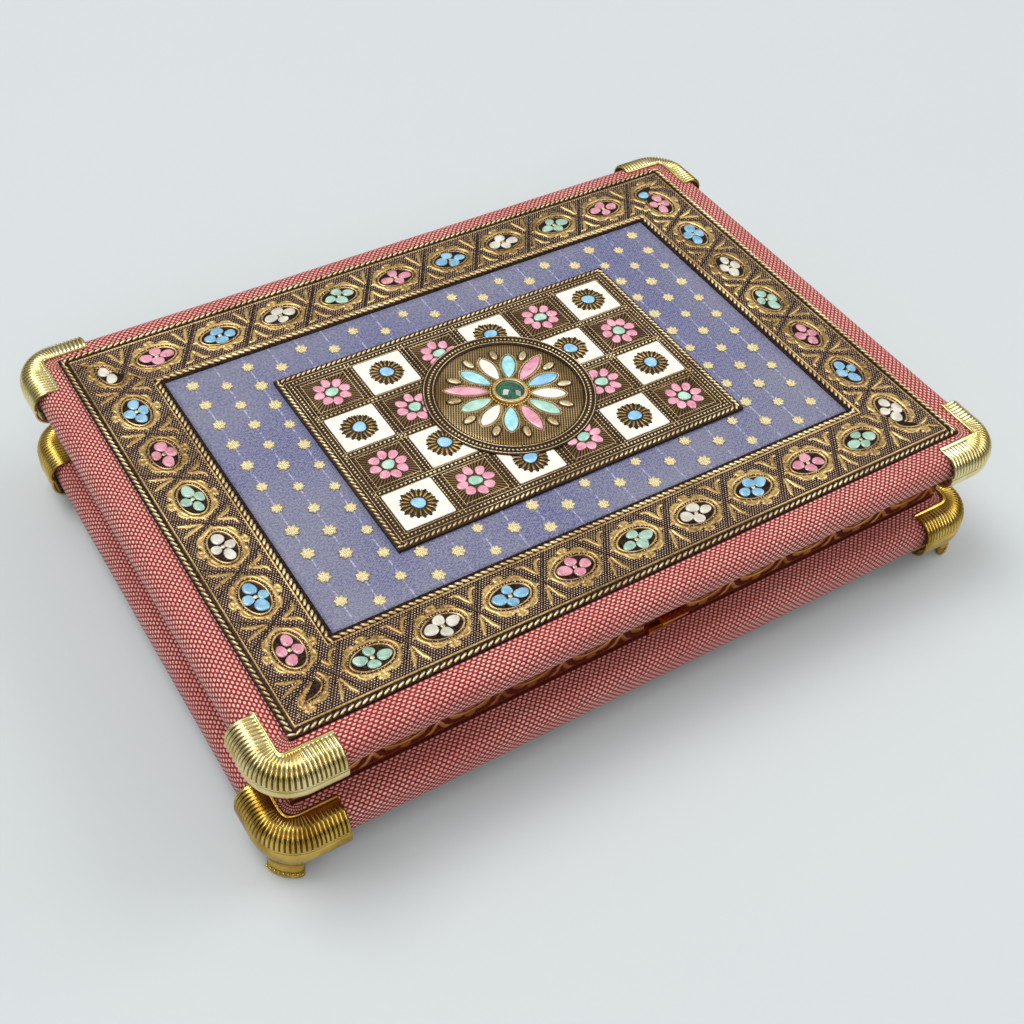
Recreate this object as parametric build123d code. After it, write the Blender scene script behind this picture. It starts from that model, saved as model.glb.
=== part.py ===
from build123d import *

import math
import os

# Hinged gift box for dry fruit, in millimetres.
# Origin: middle of the footprint, on the surface that the feet stand on. +Z up, the clasp faces -Y.

# Driving dimensions of the box body
foot_height = 8.0            # from the ground to the underside of the base slab
base_slab_thick = 14.0       # padded base slab, top to bottom
neck_height = 21.0           # recessed walls that show between the two slabs
lid_slab_thick = 12.0        # padded lid slab, top to bottom
lid_gap = 0.3                # air between the wall tops and the closed lid
wall_thick = 6.0
board_thick = 4.0            # bottom board
bottom_paper_thick = 0.6
pad_reach = 11.4             # how far a padded edge stands out from the walls
pad_corner_r = 13.0
pad_edge_r = 5.6             # roundness of a padded edge, seen from its end
band_thick = 1.0             # embossed strip on the outside of the walls
band_emboss = 0.35           # how far its thin rails stand proud
band_rail_width = 0.9
band_edge_gap = 1.0          # from a rail to the strip's edge
fit_gap = 0.2                # loose fit between flat pieces that are glued or dropped in

# Corner guards and feet, stamped from thin brass
guard_thick = 1.0
guard_clearance = 1.8        # from the padded edge's crest to the inside of a guard
guard_corner_r = 15.0
guard_edge_r = 6.0
guard_flange_width = 10.0
guard_lip_width = 5.0
guard_arm = 16.0             # from the flange's inner corner to the end of each arm
leg_top_r = 13.8             # leg's outer radius, round the middle of the corner's bend
leg_waist_r = 12.4
leg_foot_r = 14.2
leg_wall = 3.2
leg_rise = 1.6               # how far the leg runs up into the guard's rolled lip
leg_bead_height = 2.6        # plain band round the bottom of the leg
leg_step = 0.8               # from that band up to the waist
leg_angle = 50.0             # how far the leg wraps round the corner

# Trays inside
lining_thick = 0.8
divider_thick = 3.0
divider_drop = 4.0           # divider tops sit this far below the wall tops
cross_divider_count = 2

# Ornament on the lid; the box is built round its frame
frame_length = 254.0
frame_width = 178.0
cloth_border_x = 11.4        # cloth that shows beyond the frame's ends, out to the padded edge's crest
cloth_border_y = 9.9         # the same, in front of and behind the frame
frame_strip_width = 27.2
frame_thick = 1.5
frame_rail_width = 2.6       # raised rope rail along both edges of a strip
frame_rail_height = 0.5
panel_thick = 0.6
plate_length = 135.5
plate_width = 88.0
plate_thick = 1.2
plate_columns = 6
plate_rows = 4
plate_rim = 6.0              # plain border of the centre plate, outside its tiles
tile_gap = 3.0               # beaded bar between two tiles
tile_thick = 0.4
medallion_r = 30.0
medallion_thick = 0.9
medallion_rim = 2.4
medallion_rim_height = 0.5
petal_count = 12
petal_inner_r = 7.2
petal_length = 12.8
petal_width = 4.6
petal_thick = 0.45
bezel_r = 6.2
bezel_height = 1.6
stone_r = 4.8
stone_dome = 2.0
stone_girdle = 0.9
oval_pitch_long = 23.5       # ovals along the front and back strips
oval_pitch_short = 22.8      # ovals along the left and right strips
oval_row_shift = 1.0         # the rows of ovals sit this far outside a strip's middle
oval_count_front = 9
oval_count_back = 10
oval_count_side = 7
oval_shift_back = 9.0        # the patterned strip was cut by hand, so three rows sit off the middle
oval_shift_left = 7.0
oval_shift_right = -0.7
enamel_flower_r = 3.4
enamel_thick = 0.35

# Hinges at the back
hinge_spacing = 150.0        # between the middles of the two hinges
hinge_length = 26.0
hinge_knuckle_r = 1.8
hinge_pin_r = 0.8
hinge_bore_clearance = 0.05
hinge_leaf_thick = 0.9
hinge_leaf_drop = 11.0
hinge_leaf_reach = 7.6
hinge_knuckles = 5
hinge_end_gap = 0.3
screw_r = 1.0
screw_length = 3.6
screw_head_r = 1.6
screw_head_thick = 0.7
screw_inset = 6.0            # from the middle of a leaf to its screws
base_screw_drop = 9.0        # from the pin down to the screws of a base leaf
lid_screw_inset = 2.6        # from a lid leaf's free edge to its screws

# Clasp at the front
clasp_width = 10.0
clasp_plate_thick = 0.9
clasp_plate_reach = 9.0
clasp_knuckle_r = 1.5
clasp_pin_r = 0.6
clasp_ear_thick = 1.4
clasp_hole_clearance = 0.5
clasp_tongue_drop = 9.0      # from the pin down to the middle of the rolled end
clasp_roll_r = 1.5
knob_drop = 5.0              # from the pin down to the catch knob
clasp_stand_off = 0.4        # from the embossed strip to the hanging tongue
knob_r = 1.4
knob_neck_r = 0.9
knob_gap = 0.35              # from the knob's tip to the back of the hanging tongue
knob_plate_r = 3.2
knob_plate_thick = 0.6

# Levels, from the ground up
base_bottom = foot_height
base_top = base_bottom + base_slab_thick
wall_top = base_top + neck_height
lid_bottom = wall_top + lid_gap
lid_top = lid_bottom + lid_slab_thick
board_bottom = base_bottom + bottom_paper_thick
board_top = board_bottom + board_thick
tray_floor = board_top + lining_thick
divider_top = wall_top - divider_drop
frame_top = lid_top + frame_thick
panel_top = lid_top + panel_thick
plate_top = panel_top + plate_thick
medallion_top = plate_top + medallion_thick

# Plan sizes that follow
pad_x = frame_length / 2 + cloth_border_x
pad_y = frame_width / 2 + cloth_border_y
wall_outer_x = pad_x - pad_reach
wall_outer_y = pad_y - pad_reach
guard_x = pad_x + guard_clearance + guard_thick
guard_y = pad_y + guard_clearance + guard_thick
arm_end_x = guard_x - guard_flange_width - guard_arm
arm_end_y = guard_y - guard_flange_width - guard_arm
inner_x = wall_outer_x - wall_thick
inner_y = wall_outer_y - wall_thick
opening_x = frame_length / 2 - frame_strip_width
opening_y = frame_width / 2 - frame_strip_width
band_y = wall_outer_y + band_thick
tile_x = (plate_length - 2 * plate_rim + tile_gap) / plate_columns
tile_y = (plate_width - 2 * plate_rim + tile_gap) / plate_rows
hinge_y = band_y + lid_gap + hinge_knuckle_r
hinge_z = lid_bottom - lid_gap - hinge_knuckle_r
clasp_y = -(band_y + clasp_stand_off + 2 * clasp_knuckle_r)
clasp_z = lid_bottom - lid_gap - clasp_knuckle_r


def save(shape, name):
    shape.label = name
    export_step(shape, "parts/" + name + ".step")


def block(x0, x1, y0, y1, z0, z1):
    """Box between two planes on each axis, given in either order."""
    middle = Pos((x0 + x1) / 2, (y0 + y1) / 2, (z0 + z1) / 2)
    return middle * Box(abs(x1 - x0), abs(y1 - y0), abs(z1 - z0))


def rounded_slab(half_x, half_y, corner_r, z0, z1, edge_r):
    """A slab with rounded plan corners and rounded top and bottom edges."""
    plan = Pos(0, 0, z0) * RectangleRounded(2 * half_x, 2 * half_y, corner_r)
    slab = extrude(plan, z1 - z0)
    rims = slab.faces().sort_by(Axis.Z)
    return fillet(rims[0].edges() + rims[-1].edges(), edge_r)


def wedge(side, reach_x, reach_y, z0, z1):
    """The part of the plan that belongs to one side, cut along the corner mitres."""
    skew = reach_x - reach_y
    if side in ("front", "back"):
        s = -1 if side == "front" else 1
        points = [(-skew, 0), (skew, 0), (reach_x, s * reach_y), (-reach_x, s * reach_y)]
    else:
        s = -1 if side == "left" else 1
        points = [(s * skew, 0), (s * reach_x, reach_y), (s * reach_x, -reach_y)]
    plan = Pos(0, 0, z0) * make_face(Polyline(*points, close=True))
    return extrude(plan, z1 - z0)


def padded_edge(side, z0, z1):
    """One wadded edge of a slab: a bullnose, mitred at its ends under the corner guards."""
    whole = rounded_slab(pad_x, pad_y, pad_corner_r, z0, z1, pad_edge_r)
    core = block(-wall_outer_x, wall_outer_x, -wall_outer_y, wall_outer_y, z0, z1)
    return (whole - core) & wedge(side, pad_x, pad_y, z0, z1)


def wall(side):
    """Long walls run the full length, short walls stand between them."""
    if side in ("front", "back"):
        s = -1 if side == "front" else 1
        return block(-wall_outer_x, wall_outer_x, s * inner_y, s * wall_outer_y, board_bottom, wall_top)
    s = -1 if side == "left" else 1
    return block(s * inner_x, s * wall_outer_x, -inner_y, inner_y, board_bottom, wall_top)


def wall_band(side):
    """Embossed strip on a wall, with a thin raised rail along each long edge."""
    height = neck_height - lid_gap
    long_side = side in ("front", "back")
    half = wall_outer_x + band_thick if long_side else wall_outer_y
    strip = Pos(0, band_thick / 2, height / 2) * Box(2 * half, band_thick, height)
    for z in (band_edge_gap, height - band_edge_gap - band_rail_width):
        rail = Pos(0, band_thick + band_emboss / 2, z + band_rail_width / 2)
        strip += rail * Box(2 * half, band_emboss, band_rail_width)
    turn = {"back": 0, "left": 90, "front": 180, "right": 270}[side]
    out = wall_outer_y if long_side else wall_outer_x
    return Rot(0, 0, turn) * Pos(0, out, base_top) * strip


def hinge_notch():
    """The band's rails are cut away under the two hinge leaves."""
    notches = []
    for x in hinge_places():
        half = hinge_length / 2 + fit_gap
        low = hinge_z - hinge_leaf_drop - fit_gap
        notches.append(block(x - half, x + half, band_y, hinge_y, low, wall_top))
    return notches


def guard_shell(z0, z1):
    """Stamped C-section wrapped round all four corners, before it is cut up."""
    outer = rounded_slab(guard_x, guard_y, guard_corner_r, z0, z1, guard_edge_r)
    t = guard_thick
    inner = rounded_slab(guard_x - t, guard_y - t, guard_corner_r - t, z0 + t, z1 - t, guard_edge_r - t)
    shell = outer - inner
    for width, low in ((guard_flange_width, (z0 + z1) / 2), (guard_lip_width, z0 - 1)):
        hole = RectangleRounded(2 * (guard_x - width), 2 * (guard_y - width), guard_corner_r - width + 1)
        shell -= extrude(Pos(0, 0, low) * hole, (z1 - z0) / 2 + 1)
    return shell


def corner_guard(shell, sx, sy, z0, z1):
    reach_x = guard_x + 1
    reach_y = guard_y + 1
    return shell & block(sx * arm_end_x, sx * reach_x, sy * arm_end_y, sy * reach_y, z0 - 1, z1 + 1)


def corner_leg(sx, sy):
    """Flared leg: wide where it leaves the guard, waisted, with a plain band at the ground."""
    top = foot_height + leg_rise
    waist = leg_bead_height + leg_step
    top_in = (leg_top_r - leg_wall, top)
    foot_in = (leg_waist_r - leg_wall, 0)
    hollow = (leg_waist_r + (leg_top_r - leg_waist_r) * 0.25, waist + (top - waist) * 0.55)
    edges = [
        Line(top_in, (leg_top_r, top)),
        ThreePointArc((leg_top_r, top), hollow, (leg_waist_r, waist)),
        Line((leg_waist_r, waist), (leg_foot_r, leg_bead_height)),
        Line((leg_foot_r, leg_bead_height), (leg_foot_r, 0)),
        Line((leg_foot_r, 0), foot_in),
        Line(foot_in, top_in),
    ]
    profile = make_face(Plane.XZ * Wire(edges))
    ring = revolve(profile, Axis.Z, leg_angle)
    heading = math.degrees(math.atan2(sy, sx))
    centre = Pos(sx * (guard_x - guard_corner_r), sy * (guard_y - guard_corner_r), 0)
    return centre * Rot(0, 0, heading - leg_angle / 2) * ring


def divider_long():
    shape = block(-inner_x, inner_x, -divider_thick / 2, divider_thick / 2, tray_floor, divider_top)
    middle = (tray_floor + divider_top) / 2
    for x in cross_places():
        half = divider_thick / 2 + fit_gap / 2
        shape -= block(x - half, x + half, -divider_thick, divider_thick, middle, divider_top + 1)
    return shape


def divider_cross(x):
    half = divider_thick / 2
    shape = block(x - half, x + half, -inner_y, inner_y, tray_floor, divider_top)
    middle = (tray_floor + divider_top) / 2
    slot = half + fit_gap / 2
    return shape - block(x - divider_thick, x + divider_thick, -slot, slot, tray_floor - 1, middle)


def cross_places():
    step = 2 * inner_x / (cross_divider_count + 1)
    return [-inner_x + step * (i + 1) for i in range(cross_divider_count)]


def frame_strip(side):
    """One mitred strip of the ornamental frame, with a rope rail along both edges."""
    half_x = frame_length / 2
    half_y = frame_width / 2
    body_top = frame_top - frame_rail_height
    ring = block(-half_x, half_x, -half_y, half_y, lid_top, body_top)
    rails = block(-half_x, half_x, -half_y, half_y, body_top, frame_top)
    w = frame_rail_width
    rails -= block(-half_x + w, half_x - w, -half_y + w, half_y - w, body_top, frame_top)
    inner_rail = block(-opening_x - w, opening_x + w, -opening_y - w, opening_y + w, body_top, frame_top)
    ring = ring + rails + inner_rail
    ring -= block(-opening_x, opening_x, -opening_y, opening_y, lid_top - 1, frame_top + 1)
    return ring & wedge(side, half_x, half_y, lid_top, frame_top)


def oval_places():
    """Middles of the oval motifs: the patterned strip was cut wherever its length came out."""
    across_y = (frame_width - frame_strip_width) / 2 + oval_row_shift
    across_x = (frame_length - frame_strip_width) / 2 + oval_row_shift
    front = [(x, -across_y) for x in oval_row(oval_count_front, oval_pitch_long, 0)]
    back = [(x, across_y) for x in oval_row(oval_count_back, oval_pitch_long, oval_shift_back)]
    left = [(-across_x, y) for y in oval_row(oval_count_side, oval_pitch_short, oval_shift_left)]
    right = [(across_x, y) for y in oval_row(oval_count_side, oval_pitch_short, oval_shift_right)]
    return front + back + left + right


def oval_row(count, pitch, shift):
    return [shift + (i - (count - 1) / 2) * pitch for i in range(count)]


def frame_flowers():
    """Four-petalled enamel flowers, one in each oval of the frame."""
    base = frame_top - frame_rail_height
    flowers = []
    r = enamel_flower_r / 2
    for x, y in oval_places():
        plan = Circle(r)
        for k in range(4):
            plan += Rot(0, 0, 45 + 90 * k) * Pos(r * 1.1, 0) * Circle(r * 0.8)
        flowers.append(Pos(x, y, base) * extrude(plan, enamel_thick))
    return Compound(children=flowers)


def centre_plate():
    return block(-plate_length / 2, plate_length / 2, -plate_width / 2, plate_width / 2, panel_top, plate_top)


def tile_places(odd):
    places = []
    for i in range(plate_columns):
        for j in range(plate_rows):
            if (i + j) % 2 == odd:
                x = (i - (plate_columns - 1) / 2) * tile_x
                y = (j - (plate_rows - 1) / 2) * tile_y
                places.append((x, y))
    return places


def tile_field(odd, thick):
    """Enamel tiles of one colour, cut away where the round medallion lies on them."""
    half_x = (tile_x - tile_gap) / 2
    half_y = (tile_y - tile_gap) / 2
    disc = Pos(0, 0, plate_top) * extrude(Circle(medallion_r + fit_gap), thick)
    tiles = []
    for x, y in tile_places(odd):
        tile = block(x - half_x, x + half_x, y - half_y, y + half_y, plate_top, plate_top + thick)
        tile -= disc
        if tile.volume > 1:
            tiles += tile.solids()
    return Compound(children=tiles)


def medallion():
    disc = Pos(0, 0, plate_top) * extrude(Circle(medallion_r), medallion_thick)
    rim = Circle(medallion_r) - Circle(medallion_r - medallion_rim)
    disc += Pos(0, 0, medallion_top) * extrude(rim, medallion_rim_height)
    return disc


def petals():
    """Twelve pointed enamel petals, from the bezel out towards the rim."""
    half = petal_width / 2
    tip = petal_inner_r + petal_length
    belly = petal_inner_r + petal_length * 0.62
    petal_list = []
    for k in range(petal_count):
        right = ThreePointArc((0, petal_inner_r), (half, belly), (0, tip))
        left = ThreePointArc((0, tip), (-half, belly), (0, petal_inner_r))
        shape = extrude(make_face(Wire([right, left])), petal_thick)
        petal_list.append(Pos(0, 0, medallion_top) * Rot(0, 0, k * 360 / petal_count) * shape)
    return Compound(children=petal_list)


def stone_bezel():
    ring = Circle(bezel_r) - Circle(stone_r + fit_gap / 2)
    floor = Circle(bezel_r)
    shape = extrude(ring, bezel_height) + extrude(floor, fit_gap)
    rim = shape.edges().filter_by(GeomType.CIRCLE).group_by(Axis.Z)[-1]
    return Pos(0, 0, medallion_top) * fillet(rim, 0.3)


def centre_stone():
    """Low domed stone: a short girdle under a spherical cap."""
    ball_r = (stone_r ** 2 + stone_dome ** 2) / (2 * stone_dome)
    seat = medallion_top + fit_gap
    girdle = Pos(0, 0, seat) * extrude(Circle(stone_r), stone_girdle + stone_dome)
    ball = Pos(0, 0, seat + stone_girdle + stone_dome - ball_r) * Sphere(ball_r)
    return girdle & ball


def knuckle_ranges(moving):
    """Alternate lengths of a hinge barrel: odd ones belong to the lid leaf."""
    step = hinge_length / hinge_knuckles
    spans = []
    for i in range(hinge_knuckles):
        if (i % 2 == 1) == moving:
            low = -hinge_length / 2 + i * step + hinge_end_gap / 2
            spans.append((low, low + step - hinge_end_gap))
    return spans


def along_x(radius, x0, x1, y, z):
    return Pos((x0 + x1) / 2, y, z) * Rot(0, 90, 0) * Cylinder(radius, x1 - x0)


def hinge_leaf_base(x):
    """Leaf on the back wall, hanging from the barrel."""
    low = hinge_z - hinge_leaf_drop
    half = hinge_length / 2
    leaf = block(x - half, x + half, band_y, band_y + hinge_leaf_thick, low, hinge_z)
    relief = hinge_knuckle_r + lid_gap
    for x0, x1 in knuckle_ranges(True):
        gap = hinge_end_gap
        leaf -= along_x(relief, x + x0 - gap, x + x1 + gap, hinge_y, hinge_z)
    for x0, x1 in knuckle_ranges(False):
        leaf += along_x(hinge_knuckle_r, x + x0, x + x1, hinge_y, hinge_z)
    leaf -= along_x(hinge_pin_r + hinge_bore_clearance, x - half, x + half, hinge_y, hinge_z)
    for sx in (-screw_inset, screw_inset):
        leaf -= Pos(x + sx, band_y, hinge_z - base_screw_drop) * Rot(90, 0, 0) * screw_hole()
    return leaf


def hinge_leaf_lid(x):
    """Leaf under the lid's overhang, running back from the barrel."""
    half = hinge_length / 2
    low = lid_bottom - hinge_leaf_thick
    leaf = block(x - half, x + half, hinge_y, hinge_y + hinge_leaf_reach, low, lid_bottom)
    relief = hinge_knuckle_r + lid_gap
    for x0, x1 in knuckle_ranges(False):
        gap = hinge_end_gap
        leaf -= along_x(relief, x + x0 - gap, x + x1 + gap, hinge_y, hinge_z)
    for x0, x1 in knuckle_ranges(True):
        leaf += along_x(hinge_knuckle_r, x + x0, x + x1, hinge_y, hinge_z)
    leaf -= along_x(hinge_pin_r + hinge_bore_clearance, x - half, x + half, hinge_y, hinge_z)
    for sx in (-screw_inset, screw_inset):
        leaf -= Pos(x + sx, hinge_y + hinge_leaf_reach - lid_screw_inset, lid_bottom) * screw_hole()
    return leaf


def screw_hole():
    return Cylinder(screw_r + fit_gap / 2, 4 * hinge_leaf_thick)


def screw():
    """Small wood screw, head up, with a cross slot."""
    shank = Pos(0, 0, -screw_length / 2) * Cylinder(screw_r, screw_length)
    head = Pos(0, 0, screw_head_thick / 2) * Cylinder(screw_head_r, screw_head_thick)
    head = fillet(head.edges().group_by(Axis.Z)[-1], screw_head_thick * 0.6)
    slot = Box(2 * screw_head_r, 0.35, 0.6)
    cross = Pos(0, 0, screw_head_thick) * (slot + Rot(0, 0, 90) * slot)
    return shank + head - cross


def lid_screw_places():
    """Screws of the lid leaves, heads down."""
    y = hinge_y + hinge_leaf_reach - lid_screw_inset
    z = lid_bottom - hinge_leaf_thick
    return [Pos(x + sx, y, z) * Rot(180, 0, 0) for x in hinge_places() for sx in (-screw_inset, screw_inset)]


def base_screw_places():
    """Screws of the base leaves, heads towards the back."""
    y = band_y + hinge_leaf_thick
    z = hinge_z - base_screw_drop
    return [Pos(x + sx, y, z) * Rot(-90, 0, 0) for x in hinge_places() for sx in (-screw_inset, screw_inset)]


def screws(places):
    return Compound(children=[place * screw() for place in places])


def bored(shape, places):
    """Pilot holes for the screws, as deep and as wide as their shanks."""
    for place in places:
        shape -= place * Pos(0, 0, -screw_length / 2) * Cylinder(screw_r, screw_length)
    return shape


def hinge_pin(x):
    half = hinge_length / 2
    pin = along_x(hinge_pin_r, x - half, x + half, hinge_y, hinge_z)
    for s in (-1, 1):
        x0 = x + s * half
        pin += along_x(hinge_pin_r + 0.4, min(x0, x0 + s * 0.5), max(x0, x0 + s * 0.5), hinge_y, hinge_z)
    return pin


def hinge_places():
    return (-hinge_spacing / 2, hinge_spacing / 2)


def clasp_bracket():
    """Plate under the lid's front overhang, with two ears that hold the pin."""
    half = clasp_width / 2
    low = lid_bottom - clasp_plate_thick
    back = clasp_y + clasp_knuckle_r
    plate = block(-half, half, back - clasp_plate_reach, back, low, lid_bottom)
    relief = clasp_knuckle_r + fit_gap
    inner = clasp_tongue_half() + hinge_end_gap
    plate -= along_x(relief, -inner, inner, clasp_y, clasp_z)
    for s in (-1, 1):
        x0 = min(s * inner, s * half)
        x1 = max(s * inner, s * half)
        plate += along_x(clasp_knuckle_r, x0, x1, clasp_y, clasp_z)
        plate += block(x0, x1, clasp_y - clasp_knuckle_r, back, clasp_z, lid_bottom)
    plate -= along_x(clasp_pin_r, -half - 1, half + 1, clasp_y, clasp_z)
    return plate


def clasp_tongue_half():
    return clasp_width / 2 - clasp_ear_thick - hinge_end_gap


def clasp_tongue():
    """Hanging tongue: a barrel on the pin, a flat strap with a keyhole, and a rolled lower end."""
    half = clasp_tongue_half()
    wide = clasp_width / 2
    barrel = along_x(clasp_knuckle_r, -half, half, clasp_y, clasp_z)
    y0 = clasp_y - clasp_plate_thick / 2
    y1 = clasp_y + clasp_plate_thick / 2
    end = clasp_z - clasp_tongue_drop
    strap = block(-half, half, y0, y1, end, clasp_z)
    skirt_top = clasp_z - clasp_knuckle_r - hinge_end_gap
    strap += block(-wide, wide, y0, y1, end, skirt_top)
    hole = Pos(0, clasp_y, knob_z()) * Rot(90, 0, 0) * Cylinder(knob_r + clasp_hole_clearance, clasp_roll_r * 2)
    strap -= hole
    roll = along_x(clasp_roll_r, -wide, wide, clasp_y - clasp_roll_r + clasp_plate_thick / 2, end)
    tongue = barrel + strap + roll
    return tongue - along_x(clasp_pin_r + hinge_bore_clearance, -wide, wide, clasp_y, clasp_z)


def knob_z():
    return clasp_z - knob_drop


def clasp_pin():
    half = clasp_width / 2
    return along_x(clasp_pin_r, -half, half, clasp_y, clasp_z)


def catch_knob():
    """Ball knob on a round plate, standing out of the front wall behind the tongue's hole."""
    knob_reach = -clasp_y - clasp_plate_thick / 2 - knob_gap - knob_r - band_y
    plate = Cylinder(knob_plate_r, knob_plate_thick, align=(Align.CENTER, Align.CENTER, Align.MIN))
    neck = Cylinder(knob_neck_r, knob_reach, align=(Align.CENTER, Align.CENTER, Align.MIN))
    ball = Pos(0, 0, knob_reach) * Sphere(knob_r)
    ball &= Cylinder(knob_plate_r, knob_reach + knob_r, align=(Align.CENTER, Align.CENTER, Align.MIN))
    shape = plate + neck + ball
    return Pos(0, -band_y, knob_z()) * Rot(90, 0, 0) * shape


def main():
    os.makedirs("parts", exist_ok=True)
    sides = ("front", "back", "left", "right")

    board = block(-inner_x, inner_x, -inner_y, inner_y, board_bottom, board_top)
    save(board, "base_board")
    paper = block(-wall_outer_x, wall_outer_x, -wall_outer_y, wall_outer_y, base_bottom, board_bottom)
    save(paper, "bottom_paper")
    lining = block(-inner_x, inner_x, -inner_y, inner_y, board_top, tray_floor)
    save(lining, "tray_lining")
    lid_core = block(-wall_outer_x, wall_outer_x, -wall_outer_y, wall_outer_y, lid_bottom, lid_top)
    recess = lid_bottom + lining_thick
    lid_core -= block(-inner_x, inner_x, -inner_y, inner_y, lid_bottom, recess)
    save(lid_core, "lid_board")
    lid_lining = block(-inner_x, inner_x, -inner_y, inner_y, lid_bottom, recess)
    save(lid_lining, "lid_lining")

    for side in sides:
        panel = wall(side)
        band = wall_band(side)
        lid_edge = padded_edge(side, lid_bottom, lid_top)
        if side == "back":
            panel = bored(panel, base_screw_places())
            lid_edge = bored(lid_edge, lid_screw_places())
            for notch in hinge_notch():
                band -= notch
            band = bored(band, base_screw_places())
        save(panel, "wall_" + side)
        save(band, "neck_band_" + side)
        save(padded_edge(side, base_bottom, base_top), "base_pad_" + side)
        save(lid_edge, "lid_pad_" + side)
        save(frame_strip(side), "frame_strip_" + side)

    save(divider_long(), "long_divider")
    for i, x in enumerate(cross_places()):
        save(divider_cross(x), "cross_divider_" + str(i + 1))

    lid_low = lid_bottom - guard_thick
    lid_high = lid_top + guard_thick
    base_low = base_bottom - guard_thick
    base_high = base_top + guard_thick
    lid_shell = guard_shell(lid_low, lid_high)
    base_shell = guard_shell(base_low, base_high)
    for sx, sy in ((-1, -1), (1, -1), (-1, 1), (1, 1)):
        name = ("front" if sy < 0 else "back") + ("_left" if sx < 0 else "_right")
        save(corner_guard(lid_shell, sx, sy, lid_low, lid_high), "corner_guard_" + name)
        foot = corner_guard(base_shell, sx, sy, base_low, base_high) + corner_leg(sx, sy)
        save(foot, "corner_foot_" + name)

    panel = block(-opening_x + fit_gap, opening_x - fit_gap, -opening_y + fit_gap, opening_y - fit_gap,
                  lid_top, panel_top)
    save(panel, "fabric_panel")
    save(centre_plate(), "centre_plate")
    save(tile_field(0, tile_thick), "flower_tiles")
    save(tile_field(1, tile_thick), "starburst_tiles")
    save(medallion(), "medallion")
    save(petals(), "enamel_petals")
    save(stone_bezel(), "stone_bezel")
    save(centre_stone(), "centre_stone")
    save(frame_flowers(), "frame_enamel_flowers")

    for name, x in zip(("left", "right"), hinge_places()):
        save(hinge_leaf_base(x), "hinge_base_leaf_" + name)
        save(hinge_leaf_lid(x), "hinge_lid_leaf_" + name)
        save(hinge_pin(x), "hinge_pin_" + name)
    save(screws(base_screw_places()), "hinge_base_screws")
    save(screws(lid_screw_places()), "hinge_lid_screws")

    save(clasp_bracket(), "clasp_bracket")
    save(clasp_tongue(), "clasp_tongue")
    save(clasp_pin(), "clasp_pin")
    save(catch_knob(), "catch_knob")


if __name__ == "__main__":
    main()
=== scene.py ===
# %% [markdown]
# # A padded gift box with an enamelled brass lid
# The box is already built as solids: boards, walls, hinges, guards and a clasp, each where it belongs.
# This lesson gives those solids their looks. Cloth, embossed sheet, beads, enamel and fluted guards are
# modelled as meshes that sit in the places of the plain solids, and every surface gets a procedural finish.
# The frame is loaded first, because everything else takes its place from it.

# %% Load the frame
import math

import bmesh
import bpy
import numpy as np
from mathutils import Matrix, Vector


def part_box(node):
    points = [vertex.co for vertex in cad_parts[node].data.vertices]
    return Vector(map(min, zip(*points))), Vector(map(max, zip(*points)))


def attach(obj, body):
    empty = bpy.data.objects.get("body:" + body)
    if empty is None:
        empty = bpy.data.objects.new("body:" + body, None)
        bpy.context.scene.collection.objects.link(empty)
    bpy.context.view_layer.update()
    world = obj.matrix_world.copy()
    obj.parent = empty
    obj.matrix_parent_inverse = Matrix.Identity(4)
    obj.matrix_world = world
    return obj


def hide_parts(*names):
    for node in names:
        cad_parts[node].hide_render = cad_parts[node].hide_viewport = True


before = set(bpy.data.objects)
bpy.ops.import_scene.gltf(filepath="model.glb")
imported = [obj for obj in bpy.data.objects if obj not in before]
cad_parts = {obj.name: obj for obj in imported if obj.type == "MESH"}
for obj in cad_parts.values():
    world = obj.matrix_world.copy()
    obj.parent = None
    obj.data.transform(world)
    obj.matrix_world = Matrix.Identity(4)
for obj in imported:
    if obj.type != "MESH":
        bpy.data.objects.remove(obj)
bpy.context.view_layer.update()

MM = 0.001
SIDES = ("front", "back", "left", "right")


# %% [markdown]
# Lengths below are in millimetres, as a maker would read them off the box, and are turned into metres when a
# mesh is made. Heights and plan sizes come from the loaded solids, so nothing has to be fitted afterwards.

# %% Read the main sizes from the solids
def node_box(name):
    """Lowest and highest corner of a solid, in millimetres."""
    low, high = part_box(name)
    return np.array(low) / MM, np.array(high) / MM


guard_low, guard_high = node_box("corner_guard_back_right")
strip_low, strip_high = node_box("frame_strip_front")
pad_low, pad_high = node_box("lid_pad_front")
plate_high = node_box("centre_plate")[1]
panel_high = node_box("fabric_panel")[1]
LID_BOTTOM, LID_TOP = pad_low[2], pad_high[2]
BASE_BOTTOM, BASE_TOP = (corner[2] for corner in node_box("base_pad_front"))
PAD_X, PAD_Y = node_box("lid_pad_right")[1][0], -pad_low[1]
WALL_X, WALL_Y, _ = node_box("lid_board")[1]
GUARD_X, GUARD_Y, _ = guard_high
FRAME_TOP, PLATE_TOP = strip_high[2], plate_high[2]
MEDAL_R = node_box("medallion")[1][0]
print("pads reach", PAD_X, PAD_Y, "lid", LID_BOTTOM, LID_TOP, "base", BASE_BOTTOM, BASE_TOP)


# %% [markdown]
# The camera stands at the front left, high up, and is rolled a little, as the picture of the box was taken.
# Its place was worked out from the corners of the lid's frame.

# %% Camera
CAMERA_PLACE = (-211.83, -301.20, 335.36)      # from the middle of the frame's top
CAMERA_TURN = 35.79                            # degrees to the right of straight back
CAMERA_DROP = 46.91                            # degrees below level
CAMERA_ROLL = 5.00
CAMERA_LENS = 50.9


def place_object(name, data):
    """New object in the scene, at the origin."""
    thing = bpy.data.objects.new(name, data)
    bpy.context.scene.collection.objects.link(thing)
    return thing


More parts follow.
